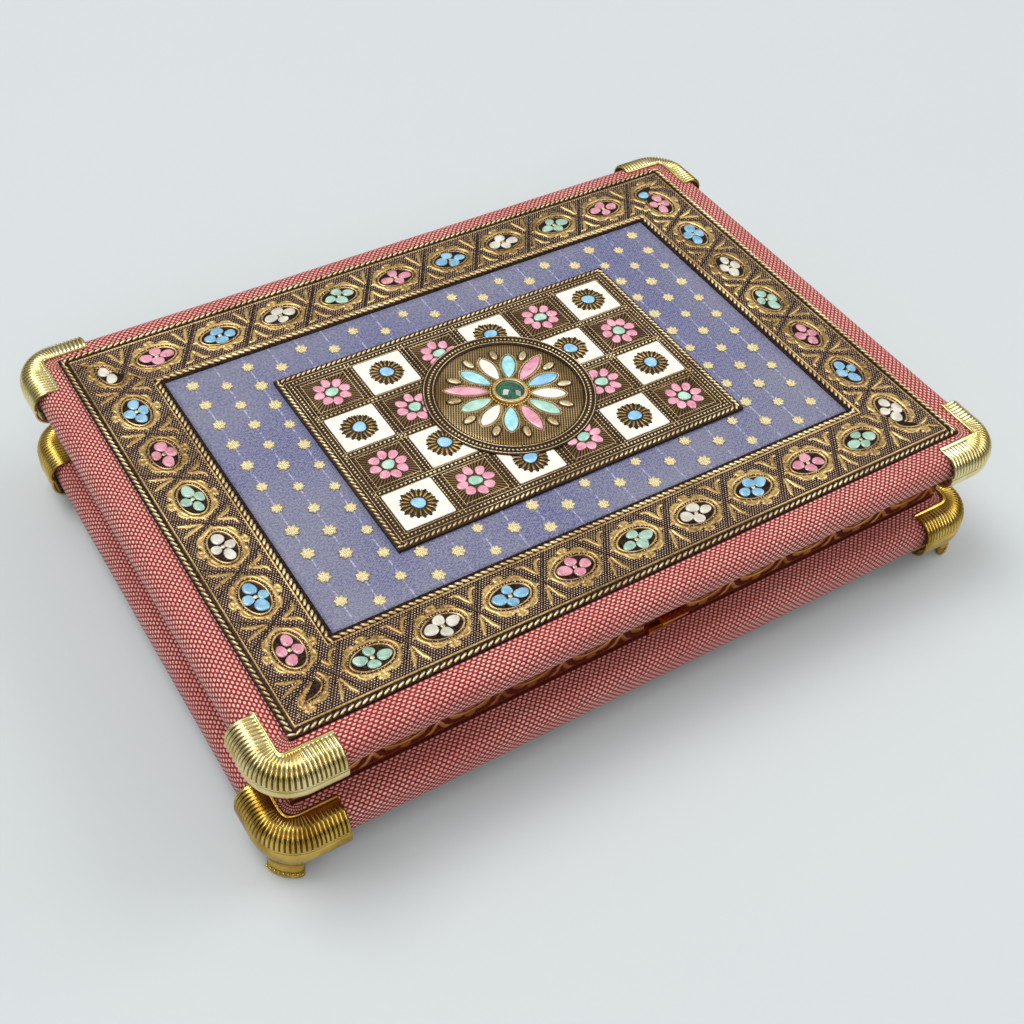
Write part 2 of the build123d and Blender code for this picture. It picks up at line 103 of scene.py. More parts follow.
cam_data = bpy.data.cameras.new("camera")
cam_data.lens = CAMERA_LENS
cam_data.sensor_width = 36.0
cam_data.clip_start = 0.01
camera = place_object("camera", cam_data)
turn, drop, roll = (math.radians(a) for a in (CAMERA_TURN, CAMERA_DROP, CAMERA_ROLL))
ahead = Vector((math.sin(turn) * math.cos(drop), math.cos(turn) * math.cos(drop), -math.sin(drop)))
level = Vector((math.cos(turn), -math.sin(turn), 0))
right = level * math.cos(roll) + level.cross(ahead) * math.sin(roll)
axes = Matrix((right, right.cross(ahead), -ahead)).transposed().to_4x4()
place = Vector(CAMERA_PLACE) + Vector((0, 0, FRAME_TOP))
camera.matrix_world = Matrix.Translation(place * MM) @ axes
bpy.context.scene.camera = camera
print("camera at", camera.matrix_world.translation)


# %% [markdown]
# ## Small tools
# Most pieces here are a regular grid of points that closes on itself, or a grid that shows with a flat back.
# Every mesh is made in its final place, with its object left at the origin.

# %% Mesh tools
def new_piece(name, points, faces, material, smooth=True, uv=None):
    """Object from points in millimetres. uv, one pair per point, is in millimetres too."""
    mesh = bpy.data.meshes.new(name)
    mesh.from_pydata((np.asarray(points, float) * MM).tolist(), [], [list(map(int, f)) for f in faces])
    if smooth:
        mesh.polygons.foreach_set("use_smooth", [True] * len(mesh.polygons))
    if uv is not None:
        layer = mesh.uv_layers.new(name="cloth")
        index = np.empty(len(mesh.loops), int)
        mesh.loops.foreach_get("vertex_index", index)
        layer.data.foreach_set("uv", (np.asarray(uv, float) * MM)[index].ravel())
    mesh.materials.append(material)
    mesh.update()
    return place_object(name, mesh)


def add_values(piece, name, values):
    """One number per point, which a material reads by name."""
    layer = piece.data.attributes.new(name, "FLOAT", "POINT")
    layer.data.foreach_set("value", np.asarray(values, float).ravel())


def outward(piece):
    """Make the faces of a closed mesh point outwards."""
    work = bmesh.new()
    work.from_mesh(piece.data)
    bmesh.ops.recalc_face_normals(work, faces=work.faces)
    work.to_mesh(piece.data)
    work.free()
    return piece


def grid_faces(rows, columns, close_columns=False, close_rows=False):
    """Quads over a grid of points stored row by row."""
    r = np.arange(rows if close_rows else rows - 1)
    c = np.arange(columns if close_columns else columns - 1)
    r, c = np.meshgrid(r, c, indexing="ij")
    r2 = (r + 1) % rows
    c2 = (c + 1) % columns
    quads = np.stack([r * columns + c, r * columns + c2, r2 * columns + c2, r2 * columns + c], -1)
    return quads.reshape(-1, 4).tolist()


def boundary(rows, columns):
    """Indices round the edge of a grid, in order."""
    right_side = [r * columns + columns - 1 for r in range(1, rows)]
    top = [(rows - 1) * columns + c for c in range(columns - 2, -1, -1)]
    left_side = [r * columns for r in range(rows - 2, 0, -1)]
    return list(range(columns)) + right_side + top + left_side


def backed_sheet(name, shown, axis, back_at, material, cloth=False, **values):
    """Closed piece from a grid of points that shows and a flat back at one place on an axis.

    Each value is a grid of numbers and the number that the back's edge gets.
    """
    rows, columns, _ = shown.shape
    top = shown.reshape(-1, 3)
    rim = boundary(rows, columns)
    under = top[rim].copy()
    under[:, axis] = back_at
    faces = grid_faces(rows, columns)
    count, base = len(rim), len(top)
    for i in range(count):
        j = (i + 1) % count
        faces.append([rim[j], rim[i], base + i, base + j])
    faces.append([base + i for i in range(count)][::-1])
    points = np.vstack([top, under])
    piece = new_piece(name, points, faces, material, uv=points[:, :2] if cloth else None)
    for value_name, (grid, at_edge) in values.items():
        add_values(piece, value_name, np.concatenate([grid.ravel(), np.full(count, at_edge)]))
    return outward(piece)


def settle(piece, body, stands_for=None):
    """Say which body a piece rides on, and the solid that it stands for."""
    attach(piece, body)
    if stands_for:
        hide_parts(stands_for)
    return piece


# %% [markdown]
# ## Shared shader effects
# Cloth dots, metal stipple and brocade are all one idea: a lattice of small ovals, every second row shifted by
# half a step. It is built once as a node group that puts out a mask and a height.

# %% Node helpers
def srgb(code):
    """Linear colour of a hex code."""
    values = [int(code[i:i + 2], 16) / 255 for i in (1, 3, 5)]
    return tuple(v / 12.92 if v <= 0.04045 else ((v + 0.055) / 1.055) ** 2.4 for v in values) + (1.0,)


def put(tree, socket, value):
    """Link an output to a socket, or give the socket a number or a hex colour."""
    if isinstance(value, bpy.types.NodeSocket):
        tree.links.new(value, socket)
    else:
        socket.default_value = srgb(value) if isinstance(value, str) else value


def add_node(tree, kind, modes=None, **inputs):
    """New node. Modes are set first; inputs, named with _ for a space, then take a link or a value."""
    node = tree.nodes.new(kind)
    for name, value in (modes or {}).items():
        setattr(node, name, value)
    for name, value in inputs.items():
        put(tree, node.inputs[name.replace("_", " ")], value)
    return node


def calc(tree, operation, *values):
    """One Math node; its output."""
    node = add_node(tree, "ShaderNodeMath", {"operation": operation})
    for socket, value in zip(node.inputs, values):
        put(tree, socket, value)
    return node.outputs[0]


def invert(tree, value):
    return calc(tree, "SUBTRACT", 1.0, value)


def times(tree, first, second):
    return calc(tree, "MULTIPLY", first, second)


def plus(tree, first, second):
    return calc(tree, "ADD", first, second)


def off_middle(tree, value):
    """How far the fraction of a value is from a half."""
    return calc(tree, "ABSOLUTE", calc(tree, "SUBTRACT", calc(tree, "FRACT", value), 0.5))


def smooth_step(tree, value, low, high):
    node = add_node(tree, "ShaderNodeMapRange", {"interpolation_type": "SMOOTHSTEP"}, Value=value,
                    From_Min=low, From_Max=high)
    return node.outputs["Result"]


def mix(tree, factor, first, second):
    """Mix two colours, each a link or a hex code."""
    node = add_node(tree, "ShaderNodeMix", {"data_type": "RGBA"})
    for index, value in ((0, factor), (6, first), (7, second)):
        put(tree, node.inputs[index], value)
    return node.outputs[2]


def tint(tree, mask, amount, under, over):
    """Lay part of a colour over another through a mask."""
    return mix(tree, times(tree, mask, amount), under, over)


def noise(tree, vector, scale):
    return add_node(tree, "ShaderNodeTexNoise", Vector=vector, Scale=scale).outputs["Fac"]


def attribute(tree, name):
    return add_node(tree, "ShaderNodeAttribute", {"attribute_name": name}).outputs["Fac"]


def coordinates(tree, kind="Object"):
    return add_node(tree, "ShaderNodeTexCoord").outputs[kind]


def in_millimetres(tree, kind="Object"):
    node = add_node(tree, "ShaderNodeVectorMath", {"operation": "MULTIPLY"})
    put(tree, node.inputs[0], coordinates(tree, kind))
    node.inputs[1].default_value = (1 / MM, 1 / MM, 1 / MM)
    return node.outputs[0]


def new_tree(name, kind, inputs, outputs):
    """Empty node group. An input is a name, a kind of socket and a value; an output has no value."""
    tree = bpy.data.node_groups.new(name, kind)
    for socket_name, socket_kind, value in inputs:
        socket = tree.interface.new_socket(socket_name, in_out="INPUT", socket_type="NodeSocket" + socket_kind)
        if value is not None:
            socket.default_value = value
    for socket_name, socket_kind in outputs:
        tree.interface.new_socket(socket_name, in_out="OUTPUT", socket_type="NodeSocket" + socket_kind)
    return tree, tree.nodes.new("NodeGroupInput").outputs, tree.nodes.new("NodeGroupOutput").inputs


# %% The lattice of dots
DOT_SIZES = ("Step Along", "Step Across", "Dot Length", "Dot Width", "Softness")


def make_dot_lattice():
    inputs = [("Vector", "Vector", None)]
    inputs += [(name, "Float", value) for name, value in zip(DOT_SIZES, (1.6, 1.5, 1.1, 0.6, 0.25))]
    group, given, result = new_tree("dot_lattice", "ShaderNodeTree", inputs,
                                    [("Mask", "Float"), ("Height", "Float")])
    split = add_node(group, "ShaderNodeSeparateXYZ", Vector=given["Vector"])
    reach = []
    for shift in (0.0, 0.5):
        parts = []
        for axis, step, size in ((0, "Step Along", "Dot Length"), (1, "Step Across", "Dot Width")):
            cell = calc(group, "DIVIDE", split.outputs[axis], given[step])
            cell = calc(group, "FRACT", plus(group, cell, shift))
            offset = times(group, calc(group, "SUBTRACT", cell, 0.5), given[step])
            part = calc(group, "DIVIDE", offset, times(group, given[size], 0.5))
            parts.append(times(group, part, part))
        reach.append(plus(group, *parts))
    nearest = calc(group, "MINIMUM", *reach)
    low = invert(group, given["Softness"])
    high = plus(group, 1.0, given["Softness"])
    put(group, result["Mask"], invert(group, smooth_step(group, nearest, low, high)))
    put(group, result["Height"], calc(group, "SQRT", calc(group, "MAXIMUM", invert(group, nearest), 0.0)))
    return group


dot_lattice = make_dot_lattice()


def dots(tree, vector, *sizes):
    """Place the lattice group in a material; its mask and height outputs."""
    node = add_node(tree, "ShaderNodeGroup", {"node_tree": dot_lattice}, Vector=vector)
    for name, value in zip(DOT_SIZES, sizes):
        node.inputs[name].default_value = value
    return node.outputs["Mask"], node.outputs["Height"]


# %% [markdown]
# Old metal and used cloth are never quite even. A second group turns a place into two soft masks: broad
# patches and fine grain. Materials use it for tarnish, faint stains and uneven gloss, and the brocade for
# painted sheen.

# %% The unevenness group
def make_unevenness():
    inputs = [("Vector", "Vector", None), ("Patch Scale", "Float", 40.0), ("Grain Scale", "Float", 900.0)]
    group, given, result = new_tree("unevenness", "ShaderNodeTree", inputs,
                                    [("Patches", "Float"), ("Grain", "Float")])
    for name, scale, detail in (("Patches", "Patch Scale", 3.0), ("Grain", "Grain Scale", 2.0)):
        node = add_node(group, "ShaderNodeTexNoise", Vector=given["Vector"], Scale=given[scale], Detail=detail)
        put(group, result[name], smooth_step(group, node.outputs["Fac"], 0.3, 0.7))
    return group


unevenness = make_unevenness()


# %% Start and finish a material
def new_material(name, roughness, metallic, patch_scale, grain_scale):
    """Material with a Principled shader; returns it with its tree, its shader, patches and grain."""
    material = bpy.data.materials.new(name)
    material.use_nodes = True
    tree = material.node_tree
    shader = tree.nodes["Principled BSDF"]
    shader.inputs["Roughness"].default_value = roughness
    shader.inputs["Metallic"].default_value = metallic
    masks = add_node(tree, "ShaderNodeGroup", {"node_tree": unevenness}, Vector=coordinates(tree),
                     Patch_Scale=patch_scale, Grain_Scale=grain_scale).outputs
    return material, tree, shader, masks["Patches"], masks["Grain"]


def finish(tree, shader, height, strength, distance, **inputs):
    """Bump from a height, and the shader's inputs by name."""
    node = add_node(tree, "ShaderNodeBump", Strength=strength, Distance=distance, Height=height)
    put(tree, shader.inputs["Normal"], node.outputs[0])
    for name, value in inputs.items():
        put(tree, shader.inputs[name.replace("_", " ")], value)


# %% [markdown]
# ## Cloth
# The box is covered in a shiny cloth: rows of pale pink oval floats stand up from a maroon ground. The pattern
# follows the surface over the padded edges, so it reads each piece's own cloth coordinates.

# %% Pink cloth
def make_pink_cloth():
    material, tree, shader, patches, grain = new_material("pink_dotted_cloth", 0.62, 0.0, 30.0, 1500.0)
    place = in_millimetres(tree, "UV")
    mask, height = dots(tree, place, 2.0, 2.04, 1.24, 0.74, 0.34)
    thread = add_node(tree, "ShaderNodeTexWave", Vector=place, Scale=1.6).outputs["Fac"]
    ground = mix(tree, grain, "#5E0D12", "#962428")
    dot = tint(tree, patches, 0.35, mix(tree, grain, "#DA8A7C", "#F6C9B4"), "#CC6660")
    finish(tree, shader, plus(tree, height, times(tree, thread, 0.15)), 0.8, 0.0003,
           Base_Color=mix(tree, mask, ground, dot), Roughness=smooth_step(tree, mask, 2.2, -0.6),
           Sheen_Weight=0.12, Sheen_Roughness=0.4)
    return material


pink_cloth = make_pink_cloth()


# %% [markdown]
# A padded edge is a bullnose: cloth pulled over wadding and round the edge of the board. Each one is swept
# along its side and half way round both corners, with a little slack so that the edge isn't perfectly straight.
# The cloth coordinates are the lengths along and around the edge. Simulated cloth would sag and fold, and this
# cloth is pulled tight, so a swept section is nearer to it.

# %% Padded edges
PAD_CORNER_R = 13.0
PAD_EDGE_R = 5.6
PAD_DEPTH = PAD_X - WALL_X
CORNER_STATIONS = 14
SIDE_STEP = 3.0
FLAT_STEPS, ROUND_STEPS = 5, 9
SLACK = 0.10


def side_stations(side):
    """Points, outward directions and lengths along one side, from mid corner to mid corner."""
    along_half, out_half = (PAD_X, PAD_Y) if side in ("front", "back") else (PAD_Y, PAD_X)
    turn = math.radians({"right": 0, "back": 90, "left": 180, "front": 270}[side])
    straight = along_half - PAD_CORNER_R
    out = out_half - PAD_CORNER_R
    steps = int(2 * straight / SIDE_STEP)
    bend = [45 * i / CORNER_STATIONS for i in range(CORNER_STATIONS + 1)]
    stations = [(-straight, angle - 45) for angle in bend]
    stations += [(-straight + 2 * straight * i / steps, 0) for i in range(1, steps)]
    stations += [(straight, angle) for angle in bend]
    result = []
    for t, angle in stations:
        a = turn + math.radians(angle)
        centre = np.array([math.cos(turn) * out - math.sin(turn) * t,
                           math.sin(turn) * out + math.cos(turn) * t])
        result.append((centre, np.array([math.cos(a), math.sin(a)]), t + math.radians(angle) * PAD_CORNER_R))
    return result


def bullnose_profile(z0, z1):
    """Closed section: distance in from the crest, height, and cloth length round the edge."""
    depth, edge_r = PAD_DEPTH, PAD_EDGE_R
    flat = [depth + (edge_r - depth) * i / FLAT_STEPS for i in range(FLAT_STEPS + 1)]
    points = [(d, z1) for d in flat]
    for i in range(1, ROUND_STEPS + 1):
        a = math.pi / 2 * i / ROUND_STEPS
        points.append((edge_r - edge_r * math.sin(a), z1 - edge_r + edge_r * math.cos(a)))
    points.append((0, (z0 + z1) / 2))
    for i in range(ROUND_STEPS + 1):
        a = math.pi / 2 * i / ROUND_STEPS
        points.append((edge_r - edge_r * math.cos(a), z0 + edge_r - edge_r * math.sin(a)))
    points += [(d, z0) for d in flat[-2::-1]]
    lengths = [0.0]
    for a, b in zip(points, points[1:]):
        lengths.append(lengths[-1] + math.dist(a, b))
    return points, lengths


def padded_edge(name, side, z0, z1):
    rng = np.random.default_rng(sum(map(ord, name)))
    profile, around = bullnose_profile(z0, z1)
    stations = side_stations(side)
    waves = [(rng.uniform(20, 60), rng.uniform(0, 6.28)) for _ in range(4)]
    points = []
    uv = []
    for centre, out, length in stations:
        slack = SLACK * sum(math.sin(length / w + p) for w, p in waves) / 4 - 0.12
        for (depth, z), v in zip(profile, around):
            near = max(0.0, 1 - depth / PAD_EDGE_R)
            spot = centre + out * (PAD_CORNER_R - depth + slack * near)
            points.append((spot[0], spot[1], z))
            uv.append((length, v))
    columns = len(profile)
    faces = grid_faces(len(stations), columns, close_columns=True)
    faces.append(list(range(columns))[::-1])
    faces.append([(len(stations) - 1) * columns + i for i in range(columns)])
    return outward(new_piece(name, points, faces, pink_cloth, uv=uv))


for slab, z0, z1 in (("lid", LID_BOTTOM, LID_TOP), ("base", BASE_BOTTOM, BASE_TOP)):
    for side in SIDES:
        edge = padded_edge(slab + "_cloth_" + side, side, z0, z1)
        settle(edge, slab, slab + "_pad_" + side)
print("padded edges", 2 * len(SIDES))


# %% [markdown]
# ## Metals
# The ornament is blackened brass: dark in the hollows, rubbed bright on what stands up. The corner guards have
# a bright yellow plating, with dirt and painted shade in their grooves. The clasp is lacquered, and the hinges
# are plain brass.

# %% Blackened brass
def make_antique_brass(name, low, high, shine, stamped=False):
    """Brass whose hollows stay dark. A stamped sheet has a ground of fine dots, except where it is bare."""
    material, tree, shader, patches, grain = new_material(name, 0.4, 0.8, 45.0, 1200.0)
    bright = tint(tree, grain, 0.22, mix(tree, patches, low, high), shine)
    gloss = smooth_step(tree, grain, -1.2, 3.0)
    if not stamped:
        finish(tree, shader, grain, 0.12, 0.0001, Base_Color=bright, Roughness=gloss)
        return material
    mask, height = dots(tree, in_millimetres(tree), 0.98, 1.5, 0.52, 0.46, 0.4)
    shown = invert(tree, attribute(tree, "bare"))
    dark = tint(tree, times(tree, mask, shown), 0.85, mix(tree, grain, "#1B100C", "#38241A"), "#D3B59A")
    top = smooth_step(tree, attribute(tree, "relief"), 0.15, 0.6)
    height = times(tree, times(tree, height, shown), invert(tree, top))
    finish(tree, shader, height, 0.7, 0.00025, Base_Color=mix(tree, top, dark, bright), Roughness=gloss)
    return material


embossed_brass = make_antique_brass("embossed_brass", "#86622C", "#CBA868", "#EFD7A0", stamped=True)
bead_brass = make_antique_brass("bead_brass", "#A98A5C", "#E6D0A2", "#FFF2CE")
ray_bronze = make_antique_brass("ray_bronze", "#6F562C", "#AE8F55", "#DCC48C")


def make_dark_brass():
    """The blackened bed under the bead rows."""
    material, tree, shader, patches, grain = new_material("dark_brass_bed", 0.5, 0.7, 60.0, 1500.0)
    colour = tint(tree, patches, 0.25, mix(tree, grain, "#1C110C", "#3A281A"), "#5C4428")
    finish(tree, shader, grain, 0.3, 0.0001, Base_Color=colour)
    return material


dark_brass = make_dark_brass()


# %% Bright plating and plain brass
def make_gold_plate(name, low, high, roughness=0.2, ribbed=False):
    """Bright plating. On ribbed sheet the grooves are coloured dark: dirt, and painted shade."""
    material, tree, shader, patches, grain = new_material(name, roughness, 1.0, 90.0, 2500.0)
    colour = mix(tree, patches, low, high)
    if ribbed:
        # Dirt and painted shade: the colour is darkened towards brown in the flute grooves.
        colour = tint(tree, smooth_step(tree, attribute(tree, "groove"), 0.12, 0.85), 0.88, colour, "#4A3010")
    spread = times(tree, noise(tree, coordinates(tree), 160.0), roughness)
    finish(tree, shader, grain, 0.05, 0.0001, Base_Color=colour, Roughness=plus(tree, roughness * 0.7, spread))
    return material


gold_plate = make_gold_plate("gold_plate", "#A98432", "#DDBC62")
foot_gold = make_gold_plate("ribbed_foot_gold", "#A5812F", "#DDBC62", ribbed=True)
guard_gold = make_gold_plate("ribbed_guard_gold", "#CDB468", "#F2E2AA", ribbed=True)
fitting_brass = make_gold_plate("fitting_brass", "#8A5A22", "#C08A3C", 0.3)
amber_brass = make_gold_plate("amber_lacquered_brass", "#7A3510", "#B8692A", 0.22)


# %% [markdown]
# ## Rows of beads
# Ropes, bead rows, sun rays and fine lines are one thing: a small dome repeated along a line and turned by a
# set angle. Geometry Nodes do this best. The line is cut into equal steps, a dome is put on every point, turned
# and sized by named inputs, and the result is made real and given its material.

# %% Tools for both trees
GEOMETRY = ("Geometry", "Geometry")


def make_real(tree, instances, material, result):
    """End of a tree: the instances become plain faces with a material."""
    real = add_node(tree, "GeometryNodeRealizeInstances", Geometry=instances.outputs[0])
    dressed = add_node(tree, "GeometryNodeSetMaterial", Geometry=real.outputs[0], Material=material)
    put(tree, result["Geometry"], dressed.outputs[0])
    return tree


def run_tree(name, guide, tree, **values):
    """Run a tree on a guide object and keep the result as a plain mesh."""
    modifier = guide.modifiers.new("tree", "NODES")
    modifier.node_group = tree
    for item in tree.interface.items_tree:
        if item.item_type == "SOCKET" and item.in_out == "INPUT" and item.name in values:
            modifier[item.identifier] = values[item.name]
    bpy.context.view_layer.update()
    mesh = bpy.data.meshes.new_from_object(guide.evaluated_get(bpy.context.evaluated_depsgraph_get()))
    mesh.name = name
    bpy.data.objects.remove(guide)
    return place_object(name, mesh)


# %% The bead row tree
def make_bead_row():
    inputs = [GEOMETRY + (None,), ("Spacing", "Float", 0.0013), ("Length", "Float", 0.0012),
              ("Width", "Float", 0.0009), ("Height", "Float", 0.0006), ("Turn", "Float", 0.0),
              ("Material", "Material", None)]
    tree, given, result = new_tree("bead_row", "GeometryNodeTree", inputs, [GEOMETRY])
    cut_line = add_node(tree, "GeometryNodeResampleCurve", {"mode": "LENGTH"}, Curve=given["Geometry"],
                        Length=given["Spacing"])
    keep = add_node(tree, "GeometryNodeCaptureAttribute")
    keep.capture_items.new("VECTOR", "Tangent")
    put(tree, keep.inputs["Geometry"], cut_line.outputs["Curve"])
    put(tree, keep.inputs["Tangent"], add_node(tree, "GeometryNodeInputTangent").outputs[0])
    align = add_node(tree, "FunctionNodeAlignRotationToVector", {"axis": "X", "pivot_axis": "Z"},
                     Vector=keep.outputs["Tangent"])
    spin = add_node(tree, "FunctionNodeRotateRotation", {"rotation_space": "LOCAL"}, Rotation=align.outputs[0],
                    Rotate_By=add_node(tree, "ShaderNodeCombineXYZ", Z=given["Turn"]).outputs[0])
    ball = add_node(tree, "GeometryNodeMeshUVSphere", Segments=8, Rings=5, Radius=0.5)
    soft = add_node(tree, "GeometryNodeSetShadeSmooth", Geometry=ball.outputs["Mesh"])
    size = add_node(tree, "ShaderNodeCombineXYZ", X=given["Length"], Y=given["Width"], Z=given["Height"])
    row = add_node(tree, "GeometryNodeInstanceOnPoints", Points=keep.outputs["Geometry"],
                   Instance=soft.outputs["Geometry"], Rotation=spin.outputs[0], Scale=size.outputs[0])
    return make_real(tree, row, given["Material"], result)


bead_row = make_bead_row()


def beads(name, lines, spacing, size, material, turn=0.0):
    """Beads along lines of points in millimetres. A line is (points, closed). size is length, width, height."""
    curve = bpy.data.curves.new(name + "_line", "CURVE")
    curve.dimensions = "3D"
    for points, closed in lines:
        spline = curve.splines.new("POLY")
        spline.points.add(len(points) - 1)
        spline.points.foreach_set("co", [c for x, y, z in points for c in (x * MM, y * MM, z * MM, 1.0)])
        spline.use_cyclic_u = closed
    length, width, height = (value * MM for value in size)
    piece = run_tree(name, place_object(name + "_line", curve), bead_row, Spacing=spacing * MM, Length=length,
                     Width=width, Height=height, Turn=math.radians(turn), Material=material)
    bpy.data.curves.remove(curve)
    return piece


def rectangle(half_x, half_y, z, cx=0.0, cy=0.0):
    return [(cx + sx * half_x, cy + sy * half_y, z) for sx, sy in ((-1, -1), (1, -1), (1, 1), (-1, 1))], True


def circle(radius, z, cx=0.0, cy=0.0, steps=64):
    angles = [2 * math.pi * i / steps for i in range(steps)]
    return [(cx + radius * math.sin(a), cy + radius * math.cos(a), z) for a in angles], True


def line(x0, y0, x1, y1, z):
    return [(x0, y0, z), (x1, y1, z)], False


# %% [markdown]
# ## Embossed strips
# The frame and the neck are dressed with a stamped strip: oval cartouches with pointed ends and small lobes,
# sprays of leaves and thin crossed lines between them, on a ground of fine stipple. A thin line runs inside
# each oval, round a plain ground. The relief is a formula: the distance to each motif gives a height, the
# height moves the points of a fine grid, and the same value is kept on the points so that the metal is bright
# where it stands up.

# %% The strip's relief
OVAL_X, OVAL_Y = 7.9, 5.3          # inner half sizes of a cartouche
RING = 1.2                         # width of its ring where it is plain
INNER_LINE = 0.95                  # from the ring to the thin line inside it
TIP = 10.35                        # from the middle to a pointed end
SLOPE = math.radians(30)           # slope of the edges that run to a point
EDGE_LINE = 3.1                    # from a strip's edge to the thin raised line beside the rope
BARE_DEPTH = 0.1                   # how much lower the bare ground lies


def stroke(x, y, points, widths):
    """Distance to a tapering stroke through a few points; below zero is inside."""
    best = np.full(x.shape, 1e3)
    for (ax, ay), (bx, by), wa, wb in zip(points, points[1:], widths, widths[1:]):
        dx, dy = bx - ax, by - ay
        t = np.clip(((x - ax) * dx + (y - ay) * dy) / (dx * dx + dy * dy), 0, 1)
        gap = np.hypot(x - ax - t * dx, y - ay - t * dy) - (wa + (wb - wa) * t)
        best = np.minimum(best, gap)
    return best


def ellipse(x, y, rx, ry):
    return (np.hypot(x / rx, y / ry) - 1) * min(rx, ry)


def cartouche(x, y):
    """Distance to the cartouche's ring, with pointed ends, end tabs and sloping shoulders."""
    ax, ay = np.abs(x), np.abs(y)
    outer = ellipse(x, y, OVAL_X + RING, OVAL_Y + RING)
    point = ax * math.sin(SLOPE) + ay * math.cos(SLOPE) - TIP * math.sin(SLOPE)
    neck = np.maximum(ax - 1.0, ay - 7.3)
    tab = np.minimum(neck, ellipse(ax, ay - 7.4, 1.85, 1.1))
    u = (ax - 4.9) * math.cos(SLOPE) - (ay - 5.05) * math.sin(SLOPE)
    v = (ax - 4.9) * math.sin(SLOPE) + (ay - 5.05) * math.cos(SLOPE)
    shoulder = ellipse(u, v, 2.5, 1.35)
    shape = np.minimum(np.minimum(outer, point), np.minimum(tab, shoulder))
    return np.maximum(shape, -ellipse(x, y, OVAL_X, OVAL_Y))


def sprays(x, y):
    """Distance to the leaves that stand between two cartouches: a V, and an upturned V with curled feet."""
    ax = np.abs(x)
    upper = stroke(ax, y, [(0.3, 1.9), (0.8, 4.2), (1.6, 6.6), (2.6, 8.7)], [0.2, 0.5, 0.68, 0.35])
    lower = stroke(ax, y, [(0.2, -3.4), (1.0, -5.4), (1.8, -7.3), (2.8, -8.2), (4.1, -8.3)],
                   [0.35, 0.66, 0.6, 0.5, 0.25])
    return np.minimum(upper, lower)


def strip_relief(along, across, pitch, shift, half_width):
    """Height from 0 to 1 of a strip of ovals, and where its ground is bare of stipple."""
    x = (along - shift + pitch / 2) % pitch - pitch / 2
    between = (along - shift) % pitch - pitch / 2
    inner = ellipse(x, across, OVAL_X - INNER_LINE, OVAL_Y - INNER_LINE)
    gap = np.minimum(cartouche(x, across), sprays(between, across))
    gap = np.minimum(gap, np.abs(inner) - 0.14)
    raised = 1 - np.clip((gap + 0.28) / 0.56, 0, 1)
    raised = raised * raised * (3 - 2 * raised)
    raised -= 0.3 * np.clip((-gap - 0.3) / 0.4, 0, 1)
    cross = np.abs(np.abs(between) * 0.84 - np.abs(across) * 0.54)
    edge = half_width - np.abs(across)
    inside = edge > EDGE_LINE
    rail = np.clip(1.5 - np.abs(edge - EDGE_LINE) / 0.22, 0, 1)
    bare = (cross < 0.2) & (gap > 0.2) & inside | (inner < 0.3) | (edge < EDGE_LINE)
    return np.maximum(raised * inside, 0.8 * rail), bare


def facing(side):
    """Whether a side runs along X, and the sign of the way it faces."""
    return side in ("front", "back"), -1 if side in ("front", "left") else 1


# %% [markdown]
# The frame's strips are mitred at the corners. Each was cut from a long roll, so the rows of ovals don't start
# at the same place: the back and left rows sit off the middle, as on the real box.

# %% Frame strips
HALF_X, HALF_Y = strip_high[0], -strip_low[1]
STRIP = strip_high[1] - strip_low[1]
EMBOSS = 0.55
STRIP_FLOOR = FRAME_TOP - 0.55
STRIP_STEP = 0.29
PITCH_LONG, PITCH_SHORT = 23.5, 22.8
# For each row: how far it is off the middle, its ovals, its first colour and the way through the colours.
ROWS_OF_OVALS = {"front": (0.0, 9, 3, 1), "back": (9.0, 10, 2, -1), "left": (7.0, 7, 2, -1),
                 "right": (-0.7, 7, 0, 1)}


def frame_strip(side):
    long_side, sign = facing(side)
    half_length, reach, pitch = (HALF_X, HALF_Y, PITCH_LONG) if long_side else (HALF_Y, HALF_X, PITCH_SHORT)
    shift, count = ROWS_OF_OVALS[side][:2]
    if count % 2 == 0:
        shift += pitch / 2
    half = STRIP / 2
    s = np.linspace(-1, 1, int(2 * half_length / STRIP_STEP) + 1)
    v = np.linspace(-half, half, int(STRIP / STRIP_STEP) + 1)
    v, s = np.meshgrid(v, s, indexing="ij")
    along = s * (half_length - (half - v))
    out = sign * (reach - half) + sign * v
    height, bare = strip_relief(along, v, pitch, shift, half)
    z = STRIP_FLOOR + EMBOSS * height - BARE_DEPTH * bare
    shown = np.stack([along, out, z] if long_side else [out, along, z], -1)
    strip = backed_sheet("frame_" + side, shown, 2, LID_TOP, embossed_brass, relief=(height, 0.0),
                         bare=(bare, 1.0))
    return settle(strip, "lid", "frame_strip_" + side)


for side in SIDES:
    print("strip", side, len(frame_strip(side).data.polygons), "faces")


# %% Ropes along the frame's edges
def lid_beads(name, lines, spacing, size, material=bead_brass, turn=0.0):
    """Bead rows that belong to the lid's ornament."""
    return settle(beads(name, lines, spacing, size, material, turn), "lid")


OPEN_X, OPEN_Y = HALF_X - STRIP, HALF_Y - STRIP
ROPE_Z = FRAME_TOP - 0.45
lid_beads("outer_rope", [rectangle(HALF_X - 1.1, HALF_Y - 1.1, ROPE_Z)], 2.3, (3.2, 0.95, 1.1), turn=27)
lid_beads("inner_rope", [rectangle(OPEN_X + 1.9, OPEN_Y + 1.9, ROPE_Z)], 2.3, (3.1, 1.15, 1.1), turn=-30)
lid_beads("inner_bead_row", [rectangle(OPEN_X + 0.55, OPEN_Y + 0.55, ROPE_Z - 0.1)], 1.3, (0.8, 0.6, 0.6),
          dark_brass)


# %% [markdown]
# ## Brocade panel
# Inside the frame lies a blue cloth with gold florets in staggered columns. Thin pale threads run from floret
# to floret. The cloth is a slightly uneven sheet glued down, and the florets are raised gold thread.

